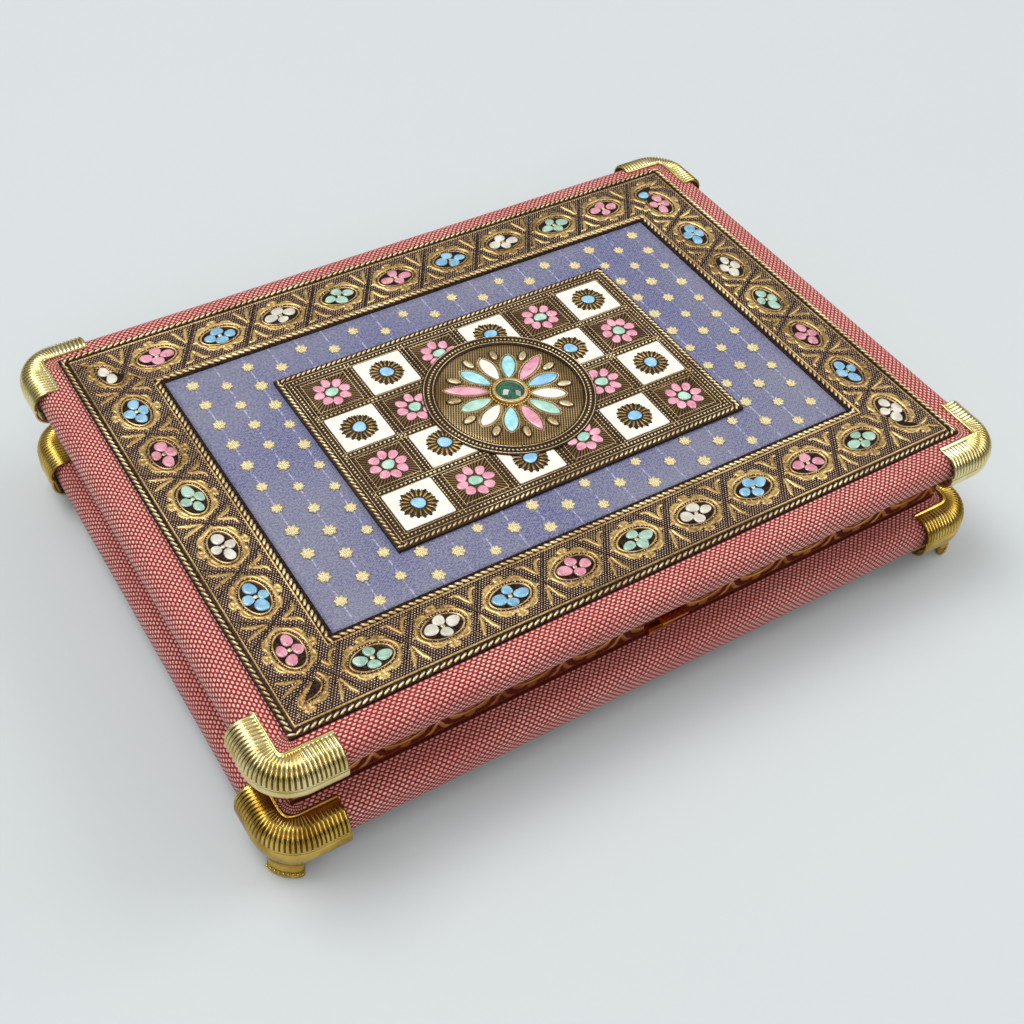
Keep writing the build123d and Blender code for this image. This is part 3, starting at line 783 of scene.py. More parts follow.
# %% Blue cloth and gold thread
FLORET_COLUMN = 10.2
FLORET_STEP = 10.8
FLORET_X0, FLORET_Y0 = -92.0, 56.0


def make_brocade():
    material, tree, shader, patches, grain = new_material("blue_brocade", 0.55, 0.0, 18.0, 1400.0)
    place = in_millimetres(tree)
    along = add_node(tree, "ShaderNodeSeparateXYZ", Vector=place).outputs[0]
    mask, height = dots(tree, place, 1.15, 0.86, 0.86, 0.34, 0.5)
    # Painted sheen: broad grey patches laid over the blue.
    blue = tint(tree, patches, 0.5, mix(tree, mask, "#1E2256", "#575A90"), "#76757F")
    blue = tint(tree, grain, 0.45, blue, "#9C9A9C")
    column = calc(tree, "DIVIDE", calc(tree, "SUBTRACT", along, FLORET_X0), FLORET_COLUMN)
    away = off_middle(tree, plus(tree, column, 0.5))
    thread = invert(tree, smooth_step(tree, away, 0.016, 0.036))
    broken = smooth_step(tree, noise(tree, place, 1.1), 0.42, 0.6)
    finish(tree, shader, plus(tree, height, times(tree, grain, 0.3)), 0.35, 0.0002,
           Base_Color=tint(tree, times(tree, thread, broken), 0.8, blue, "#A9A7C4"),
           Sheen_Weight=0.2, Sheen_Roughness=0.35, Sheen_Tint="#C9CBE6")
    return material


def make_gold_thread():
    material, tree, shader, _, grain = new_material("gold_thread", 0.42, 0.3, 120.0, 2500.0)
    mask, height = dots(tree, in_millimetres(tree), 0.8, 0.7, 0.66, 0.4, 0.4)
    colour = tint(tree, grain, 0.45, mix(tree, mask, "#3E2C16", "#E4D098"), "#FBEFC4")
    finish(tree, shader, height, 0.6, 0.0002, Base_Color=colour)
    return material


brocade = make_brocade()
gold_thread = make_gold_thread()


# %% The glued sheets
SHEET_STEP = 2.5
RIPPLES = 6


def glued_sheet(name, node, material, body, waves, faces_up=True):
    """A thin cloth sheet on a board, with very low wrinkles on the side that shows."""
    low, high = node_box(node)
    steps = [int((high[k] - low[k]) / SHEET_STEP) for k in (0, 1)]
    x, y = np.meshgrid(*(np.linspace(low[k], high[k], steps[k] + 1) for k in (0, 1)))
    rng = np.random.default_rng(7)
    ripple = np.zeros(x.shape)
    for _ in range(RIPPLES):
        kx, ky = rng.normal(0, 0.05, 2)
        ripple += np.sin(x * kx + y * ky + rng.uniform(0, 6.28)) / RIPPLES
    edge = np.minimum(np.minimum(x - low[0], high[0] - x), np.minimum(y - low[1], high[1] - y))
    ripple = (np.minimum(ripple, 0.6) - 0.6) * waves * np.clip(edge / 8, 0, 1)
    shown, hidden = (high[2] + ripple, low[2]) if faces_up else (low[2] - ripple, high[2])
    sheet = backed_sheet(name, np.stack([x, y, shown], -1), 2, hidden, material, cloth=True)
    return settle(sheet, body, node)


glued_sheet("brocade_sheet", "fabric_panel", brocade, "lid", 0.22)


# %% [markdown]
# The florets are made by a second Geometry Nodes tree. Points on a lattice get a small seven-petalled rosette
# each, turned at random with a fixed seed. Points that the centre plate covers are left out.

# %% The floret tree
ROSETTE_PETALS, ROSETTE_STEPS = 7, 35


def rosette_mesh(radius, height):
    """Low rosette of thread: a wavy round edge and a dipped middle."""
    points = [(0, 0, height * 0.75)]
    for ring, rise, wave, lift in ((0.45, 1.0, 0.05, 0.25), (0.8, 0.9, 0.17, 0.25), (1.0, 0.0, 0.17, 0.0)):
        for i in range(ROSETTE_STEPS):
            a = 2 * math.pi * i / ROSETTE_STEPS
            petal = math.cos(ROSETTE_PETALS * a)
            r = radius * ring * (1 + wave * petal)
            points.append((r * math.cos(a), r * math.sin(a), height * max(rise + lift * petal, 0)))
    faces = [(0, 1 + i, 1 + (i + 1) % ROSETTE_STEPS) for i in range(ROSETTE_STEPS)]
    for k in range(2):
        base = 1 + k * ROSETTE_STEPS
        for i in range(ROSETTE_STEPS):
            j = (i + 1) % ROSETTE_STEPS
            faces.append((base + i, base + ROSETTE_STEPS + i, base + ROSETTE_STEPS + j, base + j))
    faces.append(tuple(1 + 2 * ROSETTE_STEPS + i for i in range(ROSETTE_STEPS))[::-1])
    mesh = bpy.data.meshes.new("rosette")
    mesh.from_pydata([[c * MM for c in p] for p in points], [], faces)
    mesh.polygons.foreach_set("use_smooth", [True] * len(mesh.polygons))
    return mesh


def make_scatter():
    """Tree: one copy of an object on every point, turned at random round Z and a little smaller or larger."""
    inputs = [GEOMETRY + (None,), ("Rosette", "Object", None), ("Seed", "Int", 3), ("Variation", "Float", 0.2),
              ("Material", "Material", None)]
    tree, given, result = new_tree("scatter_rosettes", "GeometryNodeTree", inputs, [GEOMETRY])
    model = add_node(tree, "GeometryNodeObjectInfo", Object=given["Rosette"])
    turn_by, size = (add_node(tree, "FunctionNodeRandomValue", {"data_type": "FLOAT"}, Seed=given["Seed"])
                     for _ in range(2))
    turn_by.inputs[3].default_value = 2 * math.pi
    put(tree, size.inputs[2], invert(tree, given["Variation"]))
    size.inputs[3].default_value = 1.0
    spin = add_node(tree, "ShaderNodeCombineXYZ", Z=turn_by.outputs[1])
    copies = add_node(tree, "GeometryNodeInstanceOnPoints", Points=given["Geometry"],
                      Instance=model.outputs["Geometry"], Rotation=spin.outputs[0], Scale=size.outputs[1])
    return make_real(tree, copies, given["Material"], result)


scatter = make_scatter()


def floret_places():
    """Points of the lattice that lie inside the panel and clear of the centre plate."""
    places = []
    for i in range(int((panel_high[0] - FLORET_X0) / FLORET_COLUMN) + 1):
        x = FLORET_X0 + i * FLORET_COLUMN
        for j in range(-1, 13):
            y = FLORET_Y0 - j * FLORET_STEP - (FLORET_STEP / 2 if i % 2 else 0)
            inside_panel = abs(x) < panel_high[0] - 2.2 and abs(y) < panel_high[1] - 2.2
            clear_of_plate = abs(x) > plate_high[0] + 1.8 or abs(y) > plate_high[1] + 1.8
            if inside_panel and clear_of_plate:
                places.append((x, y, panel_high[2] - 0.1))
    return places


spots = bpy.data.meshes.new("gold_florets_points")
spots.from_pydata([[c * MM for c in p] for p in floret_places()], [], [])
rosette = place_object("gold_florets_model", rosette_mesh(2.35, 0.5))
florets = run_tree("gold_florets", place_object("gold_florets_points", spots), scatter, Rosette=rosette, Seed=3,
                   Variation=0.2, Material=gold_thread)
bpy.data.objects.remove(rosette)
settle(florets, "lid")
print("florets", len(spots.vertices))


# %% [markdown]
# ## Enamel
# Enamel is glass melted on metal: glossy, a little cloudy and pitted, and domed by its own surface tension. One
# function makes the material for each colour, and one makes the low domed shapes.

# %% Enamel materials
CLEAR_COLOURS = {"white": ("#D6CFC0", "#EAE4D6"), "blue": ("#5E9CC4", "#8CBEDC"),
                 "pink": ("#BE6880", "#DA98A8"), "mint": ("#80B09A", "#AACDB8"), "aqua": ("#78BDC4", "#A0D4D6")}
WORN_COLOURS = {"white": ("#A9A292", "#CFC9BA"), "blue": ("#4B86A8", "#7EAFC8"),
                "pink": ("#A85468", "#CB8493"), "mint": ("#668F7A", "#97B8A3")}


def make_enamel(name, colour, pale):
    material, tree, shader, patches, grain = new_material(name, 0.16, 0.0, 260.0, 1800.0)
    finish(tree, shader, plus(tree, patches, grain), 0.15, 0.00012, Coat_Weight=0.6, Coat_Roughness=0.08,
           Base_Color=tint(tree, grain, 0.12, mix(tree, patches, colour, pale), "#FFFFFF"))
    return material


enamel = {name: make_enamel("enamel_" + name, *pair) for name, pair in CLEAR_COLOURS.items()}
worn_enamel = {name: make_enamel("worn_" + name, *pair) for name, pair in WORN_COLOURS.items()}


def domed(outline, z, height, inset=0.72):
    """Points and faces of a low dome over a convex outline."""
    outline = np.asarray(outline, float)
    middle = outline.mean(0)
    count = len(outline)
    rings = [(1.0, 0.0), (1.0, 0.45), (0.93, 0.8), (inset, 0.97)]
    points = []
    for shrink, rise in rings:
        ring = middle + (outline - middle) * shrink
        points += [(p[0], p[1], z + height * rise) for p in ring]
    points.append((middle[0], middle[1], z + height))
    faces = grid_faces(len(rings), count, close_columns=True)
    top = (len(rings) - 1) * count
    faces += [[top + i, top + (i + 1) % count, len(points) - 1] for i in range(count)]
    faces.append(list(range(count))[::-1])
    return points, faces


def domed_group(name, outlines, z, height, material, stands_for=None):
    """Many domes of one colour, joined in one piece of the lid."""
    points, faces = [], []
    for outline in outlines:
        more, more_faces = domed(outline, z, height)
        faces += [[i + len(points) for i in face] for face in more_faces]
        points += more
    return settle(new_piece(name, points, faces, material), "lid", stands_for)


def oval(cx, cy, rx, ry, turn=0.0, wobble=1.0, steps=16):
    """Outline of an oval. The wobble, a factor for every point, makes its edge uneven."""
    a = np.linspace(0, 2 * math.pi, steps, endpoint=False)
    t = math.radians(turn)
    x, y = rx * wobble * np.cos(a), ry * wobble * np.sin(a)
    return np.stack([cx + x * math.cos(t) - y * math.sin(t), cy + x * math.sin(t) + y * math.cos(t)], -1)


BLOB_STEPS = 18
rng = np.random.default_rng(11)


def blob(cx, cy, rx, ry, turn=0.0):
    """Oval with an uneven edge, as melted enamel runs."""
    a = np.linspace(0, 2 * math.pi, BLOB_STEPS, endpoint=False)
    wobble = 1 + 0.07 * np.sin(2 * a + rng.uniform(0, 6.28)) + 0.05 * np.sin(3 * a + rng.uniform(0, 6.28))
    return oval(cx, cy, rx, ry, turn, wobble, BLOB_STEPS)


# %% Flowers in the frame's ovals
# Colours repeat in the order white, blue, pink, mint, and each row starts where its roll was cut.
CYCLE = ["white", "blue", "pink", "mint"]
FLOWER_PETALS = [(3.7, 2.4, 1.95), (2.4, 1.85, 2.15)] * 2      # reach, half length, half width

flower_ovals = {name: [] for name in CYCLE}
flower_hearts = []
for side in SIDES:
    long_side, sign = facing(side)
    reach, pitch = (HALF_Y, PITCH_LONG) if long_side else (HALF_X, PITCH_SHORT)
    shift, count, first, order = ROWS_OF_OVALS[side]
    across = sign * (reach - STRIP / 2)
    for i in range(count):
        along = shift + (i - (count - 1) / 2) * pitch
        colour = CYCLE[(first + order * i) % len(CYCLE)]
        cx, cy = (along, across) if long_side else (across, along)
        lean = rng.uniform(-14, 14) + (0 if long_side else 90)
        for k, (away, length, wide) in enumerate(FLOWER_PETALS):
            angle = lean + 90 * k + rng.uniform(-9, 9)
            a = math.radians(angle)
            grow = rng.uniform(0.88, 1.08)
            x, y = cx + away * math.cos(a), cy + away * math.sin(a)
            past_mitre = (HALF_Y - abs(y)) - (HALF_X - abs(x))
            if (past_mitre if long_side else -past_mitre) < -1.0:
                flower_ovals[colour].append(blob(x, y, length * grow, wide * grow, angle))
        flower_hearts.append(oval(cx, cy, 0.75, 0.75))
for colour in CYCLE:
    domed_group("frame_flowers_" + colour, flower_ovals[colour], STRIP_FLOOR - 0.05, 0.5, worn_enamel[colour],
                "frame_enamel_flowers" if colour == CYCLE[0] else None)
domed_group("frame_flower_hearts", flower_hearts, STRIP_FLOOR - 0.05, 0.45, bead_brass)


# %% [markdown]
# ## Centre plate
# The plate is a chequer of twenty-four tiles between double rows of beads. Pink flowers on blackened brass take
# turns with gold sunbursts on white enamel. The plate's bed is the plain solid, given a dark finish.

# %% Rayed brass under the pink flowers
TILE_RAYS = 48


def make_rayed_brass():
    material, tree, shader, patches, grain = new_material("rayed_brass", 0.42, 0.75, 90.0, 1600.0)
    split = add_node(tree, "ShaderNodeSeparateXYZ", Vector=coordinates(tree, "UV")).outputs
    angle = calc(tree, "ARCTAN2", split[1], split[0])
    ridge = smooth_step(tree, off_middle(tree, times(tree, angle, TILE_RAYS / (2 * math.pi))), 0.2, 0.42)
    dark = mix(tree, grain, "#25160F", "#3F2A1A")
    bright = mix(tree, patches, "#6E5430", "#A98A58")
    finish(tree, shader, ridge, 0.6, 0.00025, Base_Color=tint(tree, ridge, 0.8, dark, bright))
    return material


rayed_brass = make_rayed_brass()


# %% Tiles
COLUMNS, ROWS = 6, 4
RIM = 6.0
TILE_GAP = 3.0
TILE_ROUND = 0.5
TILE_BEVEL = 0.12
STEP_X = (plate_high[0] * 2 - 2 * RIM + TILE_GAP) / COLUMNS
STEP_Y = (plate_high[1] * 2 - 2 * RIM + TILE_GAP) / ROWS
TILE_X, TILE_Y = (STEP_X - TILE_GAP) / 2, (STEP_Y - TILE_GAP) / 2


def tile_list(odd):
    """Middles of every second tile, apart from those that the medallion hides."""
    tiles = []
    for i in range(COLUMNS):
        for j in range(ROWS):
            x = (i - (COLUMNS - 1) / 2) * STEP_X
            y = (j - (ROWS - 1) / 2) * STEP_Y
            if (i + j) % 2 == odd and math.hypot(x, y) >= MEDAL_R - 12:
                tiles.append((x, y))
    return tiles


def tile_plates(name, places, thick, material, node):
    """Thin plates with softened edges, one per tile. Their cloth coordinates start at the tile's middle."""
    outline = []
    for sx, sy, start in ((1, 1, 0), (-1, 1, 90), (-1, -1, 180), (1, -1, 270)):
        for a in (math.radians(start + 45 * k) for k in range(3)):
            outline.append((sx * (TILE_X - TILE_ROUND) + TILE_ROUND * math.cos(a),
                            sy * (TILE_Y - TILE_ROUND) + TILE_ROUND * math.sin(a)))
    count = len(outline)
    shell = grid_faces(3, count, close_columns=True)
    shell += [[2 * count + i for i in range(count)], list(range(count))[::-1]]
    points, faces, local = [], [], []
    for x, y in places:
        faces += [[len(points) + i for i in face] for face in shell]
        for shrink, z in ((0, 0), (0, thick - TILE_BEVEL), (TILE_BEVEL, thick)):
            points += [(x + ox - math.copysign(shrink, ox), y + oy - math.copysign(shrink, oy), PLATE_TOP + z)
                       for ox, oy in outline]
            local += outline
    return settle(new_piece(name, points, faces, material, smooth=False, uv=local), "lid", node)


white_places, pink_places = tile_list(0), tile_list(1)
tile_plates("white_tiles", white_places, 0.4, enamel["white"], "starburst_tiles")
tile_plates("flower_tile_beds", pink_places, 0.2, rayed_brass, "flower_tiles")


# %% Sunbursts and flowers on the tiles
SUN_RAYS = 18
SUN_R = 4.35


def ragged(cx, cy):
    """Outline of a sunburst, with a notch between every two rays and rays of uneven length."""
    points = []
    for k in range(SUN_RAYS):
        tip = rng.uniform(6.0, 6.75)
        for step, r in ((-0.5, 4.7), (-0.3, tip - 0.7), (-0.1, tip), (0.15, tip - 0.05), (0.35, tip - 0.8)):
            a = 2 * math.pi * (k + step) / SUN_RAYS
            points.append((cx + r * math.cos(a), cy + r * math.sin(a)))
    return points


domed_group("sunburst_beds", [ragged(x, y) for x, y in white_places], PLATE_TOP + 0.3, 0.25, dark_brass)
lid_beads("sunburst_rays", [circle(SUN_R, PLATE_TOP + 0.6, x, y) for x, y in white_places],
          2 * math.pi * SUN_R / SUN_RAYS, (0.85, 3.6, 0.55), ray_bronze)
domed_group("sunburst_hearts", [blob(x, y, 2.45, 2.3) for x, y in white_places], PLATE_TOP + 0.35, 0.6,
            enamel["blue"])
petal_shapes = []
for x, y in pink_places:
    for k in range(8):
        heading = 45 * k + rng.uniform(-4, 4)
        a = math.radians(heading)
        reach = 4.8 + rng.uniform(-0.12, 0.15)
        petal_shapes.append(blob(x + reach * math.cos(a), y + reach * math.sin(a), 2.0, 1.68, heading))
domed_group("tile_petals", petal_shapes, PLATE_TOP + 0.15, 0.5, enamel["pink"])
domed_group("tile_flower_hearts", [blob(x, y, 2.35, 2.0) for x, y in pink_places], PLATE_TOP + 0.15, 0.55,
            enamel["mint"])
lid_beads("tile_frames", [rectangle(TILE_X - 0.9, TILE_Y - 0.9, PLATE_TOP + 0.2, x, y) for x, y in pink_places],
          0.9, (1.1, 0.3, 0.3))


# %% Bead rows between the tiles and round the plate
def outside_medallion(whole):
    """Cut a straight line where the medallion covers it."""
    (x0, y0, z), (x1, y1, _) = whole[0]
    upright = x0 == x1
    across = abs(x0 if upright else y0)
    if across >= MEDAL_R - 0.5:
        return [whole]
    reach = math.sqrt((MEDAL_R - 0.3) ** 2 - across ** 2)
    if upright:
        return [line(x0, y0, x0, -reach, z), line(x0, reach, x0, y1, z)]
    return [line(x0, y0, -reach, y0, z), line(reach, y0, x1, y0, z)]


def rows_across(offsets):
    """Lines from left to right between the rows of tiles."""
    middles = [(j - ROWS / 2) * STEP_Y for j in range(1, ROWS)]
    whole = [line(-END_X, y + offset, END_X, y + offset, PLATE_TOP) for y in middles for offset in offsets]
    return [part for one in whole for part in outside_medallion(one)]


def plate_rectangle(inset, lift=0.0):
    return rectangle(plate_high[0] - inset, plate_high[1] - inset, PLATE_TOP + lift)


END_X, END_Y = plate_high[0] - RIM + 1.0, plate_high[1] - RIM + 1.0
upright_lines = []
for x in [(i - COLUMNS / 2) * STEP_X for i in range(1, COLUMNS)]:
    for offset in (-0.75, 0.75):
        upright_lines += outside_medallion(line(x + offset, -END_Y, x + offset, END_Y, PLATE_TOP))
lid_beads("tile_bead_rows", upright_lines, 1.2, (0.82, 0.62, 0.75))
lid_beads("tile_dash_rows", rows_across([0.0]), 1.55, (1.1, 0.95, 0.8), turn=18)
lid_beads("tile_thin_lines", rows_across([-1.15, 1.15]), 1.4, (1.9, 0.28, 0.3))
lid_beads("plate_bead_rows", [plate_rectangle(4.1)], 1.4, (1.0, 0.85, 0.85))
lid_beads("plate_rope", [plate_rectangle(1.25, 0.1)], 1.95, (2.7, 0.9, 1.0), turn=33)
lid_beads("plate_lines", [plate_rectangle(2.8), plate_rectangle(5.4)], 1.4, (1.9, 0.32, 0.4))


# %% [markdown]
# ## Medallion
# A round boss lies over the middle tiles: turned rings and a bead ring round the rim, a finely hatched field,
# twelve enamel petals with beaded outlines, and a green stone in a bead-set collar.

# %% Medallion body
MEDAL_FLOOR = PLATE_TOP + 0.9
HATCH_STEP = 0.86
RIM_IN = 25.4
FIELD_R = 25.7
RIM_STEPS = 160


def make_hatched_brass():
    """Brass with two rows of fine grooves across each other, the second one shallower."""
    material, tree, shader, patches, _ = new_material("hatched_brass", 0.36, 0.9, 70.0, 1500.0)
    split = add_node(tree, "ShaderNodeSeparateXYZ", Vector=in_millimetres(tree)).outputs
    ridges = []
    for by_x, by_y, low, high, amount in ((0.866, -0.5, 0.16, 0.42, 1.0), (0.5, 0.866, 0.2, 0.45, 0.55)):
        slope = plus(tree, times(tree, split[0], by_x), times(tree, split[1], by_y))
        groove = off_middle(tree, calc(tree, "DIVIDE", slope, HATCH_STEP))
        ridges.append(times(tree, smooth_step(tree, groove, low, high), amount))
    ridge = calc(tree, "MAXIMUM", *ridges)
    bright = mix(tree, patches, "#9A7946", "#D6B883")
    finish(tree, shader, ridge, 0.6, 0.0003, Base_Color=mix(tree, ridge, "#24160E", bright))
    return material


rim_profile = [(RIM_IN, 0), (MEDAL_R, 0), (MEDAL_R, 0.85), (29.7, 1.1), (29.2, 1.1), (28.95, 0.85),
               (26.75, 0.85), (26.5, 1.1), (26.1, 1.1), (25.85, 0.8), (RIM_IN, 0.8)]
rim_points = []
for a in (2 * math.pi * i / RIM_STEPS for i in range(RIM_STEPS)):
    rim_points += [(r * math.cos(a), r * math.sin(a), PLATE_TOP + z) for r, z in rim_profile]
rim_faces = grid_faces(RIM_STEPS, len(rim_profile), close_columns=True, close_rows=True)
rim = outward(new_piece("medallion_rim", rim_points, rim_faces, dark_brass, smooth=False))
settle(rim, "lid", "medallion")
field = domed(oval(0, 0, FIELD_R, FIELD_R, steps=96), PLATE_TOP, MEDAL_FLOOR - PLATE_TOP, inset=0.8)
settle(new_piece("medallion_field", *field, make_hatched_brass(), smooth=False), "lid")
lid_beads("medallion_beads", [circle(27.85, PLATE_TOP + 0.9, steps=180)], 1.38, (0.92, 0.95, 0.75))
lid_beads("medallion_lines", [circle(r, PLATE_TOP + 1.1, steps=180) for r in (29.45, 26.3)], 1.5,
          (1.9, 0.42, 0.36))


# %% Petals
PETAL_COLOURS = ["white", "aqua", "pink", "blue"] + ["white", "mint", "pink", "aqua"] * 2
PETAL_IN, PETAL_OUT, PETAL_HALF = 7.4, 19.4, 2.45
LONG_PETALS = {2: 22.4, 6: 20.8, 10: 22.6}
PETAL_STEPS = 11


def petal_outline(number, grow=0.0):
    """Petal seen from above, blunt at the stone, narrower at its tip; numbers run clockwise from the back."""
    points = []
    tip = LONG_PETALS.get(number, PETAL_OUT) + grow
    root = PETAL_IN - grow
    taper = 0.4 if number in LONG_PETALS else 0.1
    for sign in (1, -1):
        for i in range(PETAL_STEPS):
            t = i / PETAL_STEPS if sign > 0 else 1 - i / PETAL_STEPS
            wide = (PETAL_HALF + grow) * math.sin(math.pi * t ** 1.25) ** 0.58 * (1 - taper * t ** 2)
            points.append((sign * wide, root + (tip - root) * t))
    a = math.radians(30 * number)
    return [(x * math.cos(a) + y * math.sin(a), -x * math.sin(a) + y * math.cos(a)) for x, y in points]


for colour in ("white", "aqua", "pink", "blue", "mint"):
    outlines = [petal_outline(k) for k in range(12) if PETAL_COLOURS[k] == colour]
    domed_group("medallion_petals_" + colour, outlines, MEDAL_FLOOR - 0.05, 0.7, enamel[colour],
                "enamel_petals" if colour == "white" else None)
petal_edges, filigree, leaf_shapes, leaf_beds = [], [], [], []
for k in range(12):
    petal_edges.append(([(x, y, MEDAL_FLOOR + 0.12) for x, y in petal_outline(k, 0.62)], True))
    a = math.radians(30 * k + 15)
    for lean in (-0.02, 0.02):
        filigree.append(line(10.5 * math.sin(a), 10.5 * math.cos(a), 16.6 * math.sin(a + lean),
                             16.6 * math.cos(a + lean), MEDAL_FLOOR + 0.1))
    x, y, heading = 19.7 * math.sin(a), 19.7 * math.cos(a), 90 - (30 * k + 15)
    leaf_shapes.append(oval(x, y, 2.5, 1.25, heading))
    leaf_beds.append(oval(x, y, 3.1, 1.8, heading))
lid_beads("petal_outlines", petal_edges, 0.7, (0.62, 0.56, 0.56))
lid_beads("petal_filigree", filigree, 0.85, (0.55, 0.7, 0.5), ray_bronze)
domed_group("medallion_leaf_beds", leaf_beds, MEDAL_FLOOR - 0.05, 0.16, dark_brass)
domed_group("medallion_small_leaves", leaf_shapes, MEDAL_FLOOR, 0.6, bead_brass)


# %% Stone and its collar
def make_green_stone():
    material, tree, shader, patches, grain = new_material("green_stone", 0.12, 0.0, 180.0, 700.0)
    cracks = add_node(tree, "ShaderNodeTexVoronoi", {"feature": "DISTANCE_TO_EDGE"}, Vector=coordinates(tree),
                      Scale=520.0)
    vein = invert(tree, smooth_step(tree, cracks.outputs["Distance"], 0.0, 0.09))
    green = tint(tree, vein, 0.22, mix(tree, patches, "#03231A", "#0A5636"), "#4FAF80")
    finish(tree, shader, grain, 0.05, 0.0001, Base_Color=green, Coat_Weight=1.0, Coat_Roughness=0.03)
    return material


green_stone = make_green_stone()
lid_beads("stone_collar_beads", [circle(5.5, MEDAL_FLOOR + 1.45, steps=72)], 0.95, (0.8, 0.85, 0.8), gold_plate)
lid_beads("stone_skirt_beads", [circle(6.75, MEDAL_FLOOR + 0.3, steps=72)], 1.05, (0.95, 1.1, 1.0), gold_plate)


# %% [markdown]
# ## Corner guards and feet
# The guards are stamped with fine flutes that run across the flange and over the shoulder, round the bend of
# the corner. Under them come a groove and a plain lip that curls in at the bottom. A guard is a sheet, so the
# mesh has an outer skin, an inner skin and closed ends. A foot's guard has a nearly smooth flange and a rounder
# notch at its inner corner.

# %% The guard's shape
GUARD_R = 15.0
GUARD_EDGE = 6.0
FLANGE = 10.0
ARM = guard_high[0] - guard_low[0] - GUARD_R
FLUTES_ARM, FLUTES_CORNER = 8, 14
PER_FLUTE = 8
THICK = 0.9
FLUTE = 0.7                        # depth of the grooves between the ribs
LID_NOTCH, FOOT_NOTCH = 8, 3.2     # how square the flange's inner corner is
CORNERS = {"front_left": (-1, -1), "front_right": (1, -1), "back_left": (-1, 1), "back_right": (1, 1)}


def guard_section(z0, z1, ribbed_top):
    """Section from the flange's inner edge, over the shoulder and down to the lip: depth, height, groove."""
    rib = 0.5 if ribbed_top else 0.25
    points = [(FLANGE, z1 - 0.55, 0), (FLANGE - 0.1, z1 - 0.1, 0), (FLANGE - 0.35, z1 + 0.05, 0),
              (FLANGE - 0.7, z1, 0), (FLANGE - 0.95, z1 - 0.5, 0), (FLANGE - 1.25, z1 - 0.25, rib * 0.7),
              (FLANGE - 2.4, z1 - 0.15, rib), (GUARD_EDGE, z1 - 0.05, rib + 0.15)]
    for k in range(1, 9):
        a = math.pi / 2 * k / 8
        points.append((GUARD_EDGE * (1 - math.sin(a)), z1 - GUARD_EDGE * (1 - math.cos(a)),
                       min(1, 0.4 + 0.2 * k)))
    points += [(0.05, z1 - 6.4, 0.8), (0.5, z1 - 6.8, 0.2), (0.6, z1 - 7.05, 0), (0.3, z1 - 7.4, 0),
               (0.05, z1 - 7.9, 0)]
    start = 12 if z1 - z0 < 15 else 0
    for a in np.radians(np.linspace(start, 82, 9)):
        points.append((GUARD_EDGE * (1 - math.cos(a)), z0 + GUARD_EDGE * (1 - math.sin(a)), 0))
    return np.array(points, float)


def guard_stations():
    """Place, angle and rib phase along the guard, in the corner's own axes."""
    stations = []
    for i in range((2 * FLUTES_ARM + FLUTES_CORNER) * PER_FLUTE + 1):
        f = i / PER_FLUTE
        phase = i % PER_FLUTE / PER_FLUTE
        if f < FLUTES_ARM:
            stations.append((0.0, -ARM * (1 - f / FLUTES_ARM), 0.0, phase))
        elif f <= FLUTES_ARM + FLUTES_CORNER:
            stations.append((0.0, 0.0, 90 * (f - FLUTES_ARM) / FLUTES_CORNER, phase))
        else:
            stations.append((-ARM * (f - FLUTES_ARM - FLUTES_CORNER) / FLUTES_ARM, 0.0, 90.0, phase))
    return stations


def guard_mesh(name, sx, sy, z0, z1, material, ribbed_top=True):
    section = guard_section(z0, z1, ribbed_top)
    notch = LID_NOTCH if ribbed_top else FOOT_NOTCH
    depth, height, grooved = section.T
    run = np.gradient(section[:, :2], axis=0)
    run /= np.maximum(np.linalg.norm(run, axis=1, keepdims=True), 1e-6)
    middle = (z0 + z1) / 2
    squareness = np.clip((depth - 5) / 4, 0, 1)
    inner_depth = depth + THICK * np.clip(1 - depth / GUARD_EDGE, 0, 1)
    inner_height = middle + (height - middle) * (1 - THICK / (z1 - middle))
    cx, cy = GUARD_X - GUARD_R, GUARD_Y - GUARD_R
    points, grooves = [], []
    for ox, oy, angle, phase in guard_stations():
        a = math.radians(angle)
        square = (math.cos(a) ** notch + math.sin(a) ** notch) ** (-1 / notch)
        cut_in = FLUTE * (1 - math.sin(math.pi * phase)) * grooved
        outer_depth = depth + np.abs(run[:, 1]) * cut_in
        outer_height = height - np.sign(height - middle) * np.abs(run[:, 0]) * cut_in
        for d, z, far in ((outer_depth, outer_height, squareness),
                          (inner_depth[::-1], inner_height[::-1], squareness[::-1])):
            r = (GUARD_R - d) * (1 + far * (square - 1))
            points.append(np.stack([cx + ox + math.cos(a) * r, cy + oy + math.sin(a) * r, z], -1))
        grooves += [cut_in / FLUTE, np.zeros(len(depth))]
    points = np.concatenate(points) * np.array([sx, sy, 1.0])
    count = len(section)
    ring = 2 * count
    stations_count = len(points) // ring
    faces = grid_faces(stations_count, ring, close_columns=True)
    for base in (0, (stations_count - 1) * ring):
        faces += [[base + i, base + i + 1, base + ring - 2 - i, base + ring - 1 - i] for i in range(count - 1)]
    piece = new_piece(name, points, faces, material)
    add_values(piece, "groove", np.concatenate(grooves))
    return outward(piece)


for name, (sx, sy) in CORNERS.items():
    guard = guard_mesh("lid_guard_" + name, sx, sy, LID_BOTTOM - 1.0, LID_TOP + 1.0, guard_gold)
    settle(guard, "lid", "corner_guard_" + name)
print("guard faces", len(guard.data.polygons))


# %% [markdown]
# A foot is the same guard with a short flared leg under the bend. The leg is turned round the corner's own
# middle: it flares into the guard's lip, has two fine grooves at its waist, and ends in a band of beads.

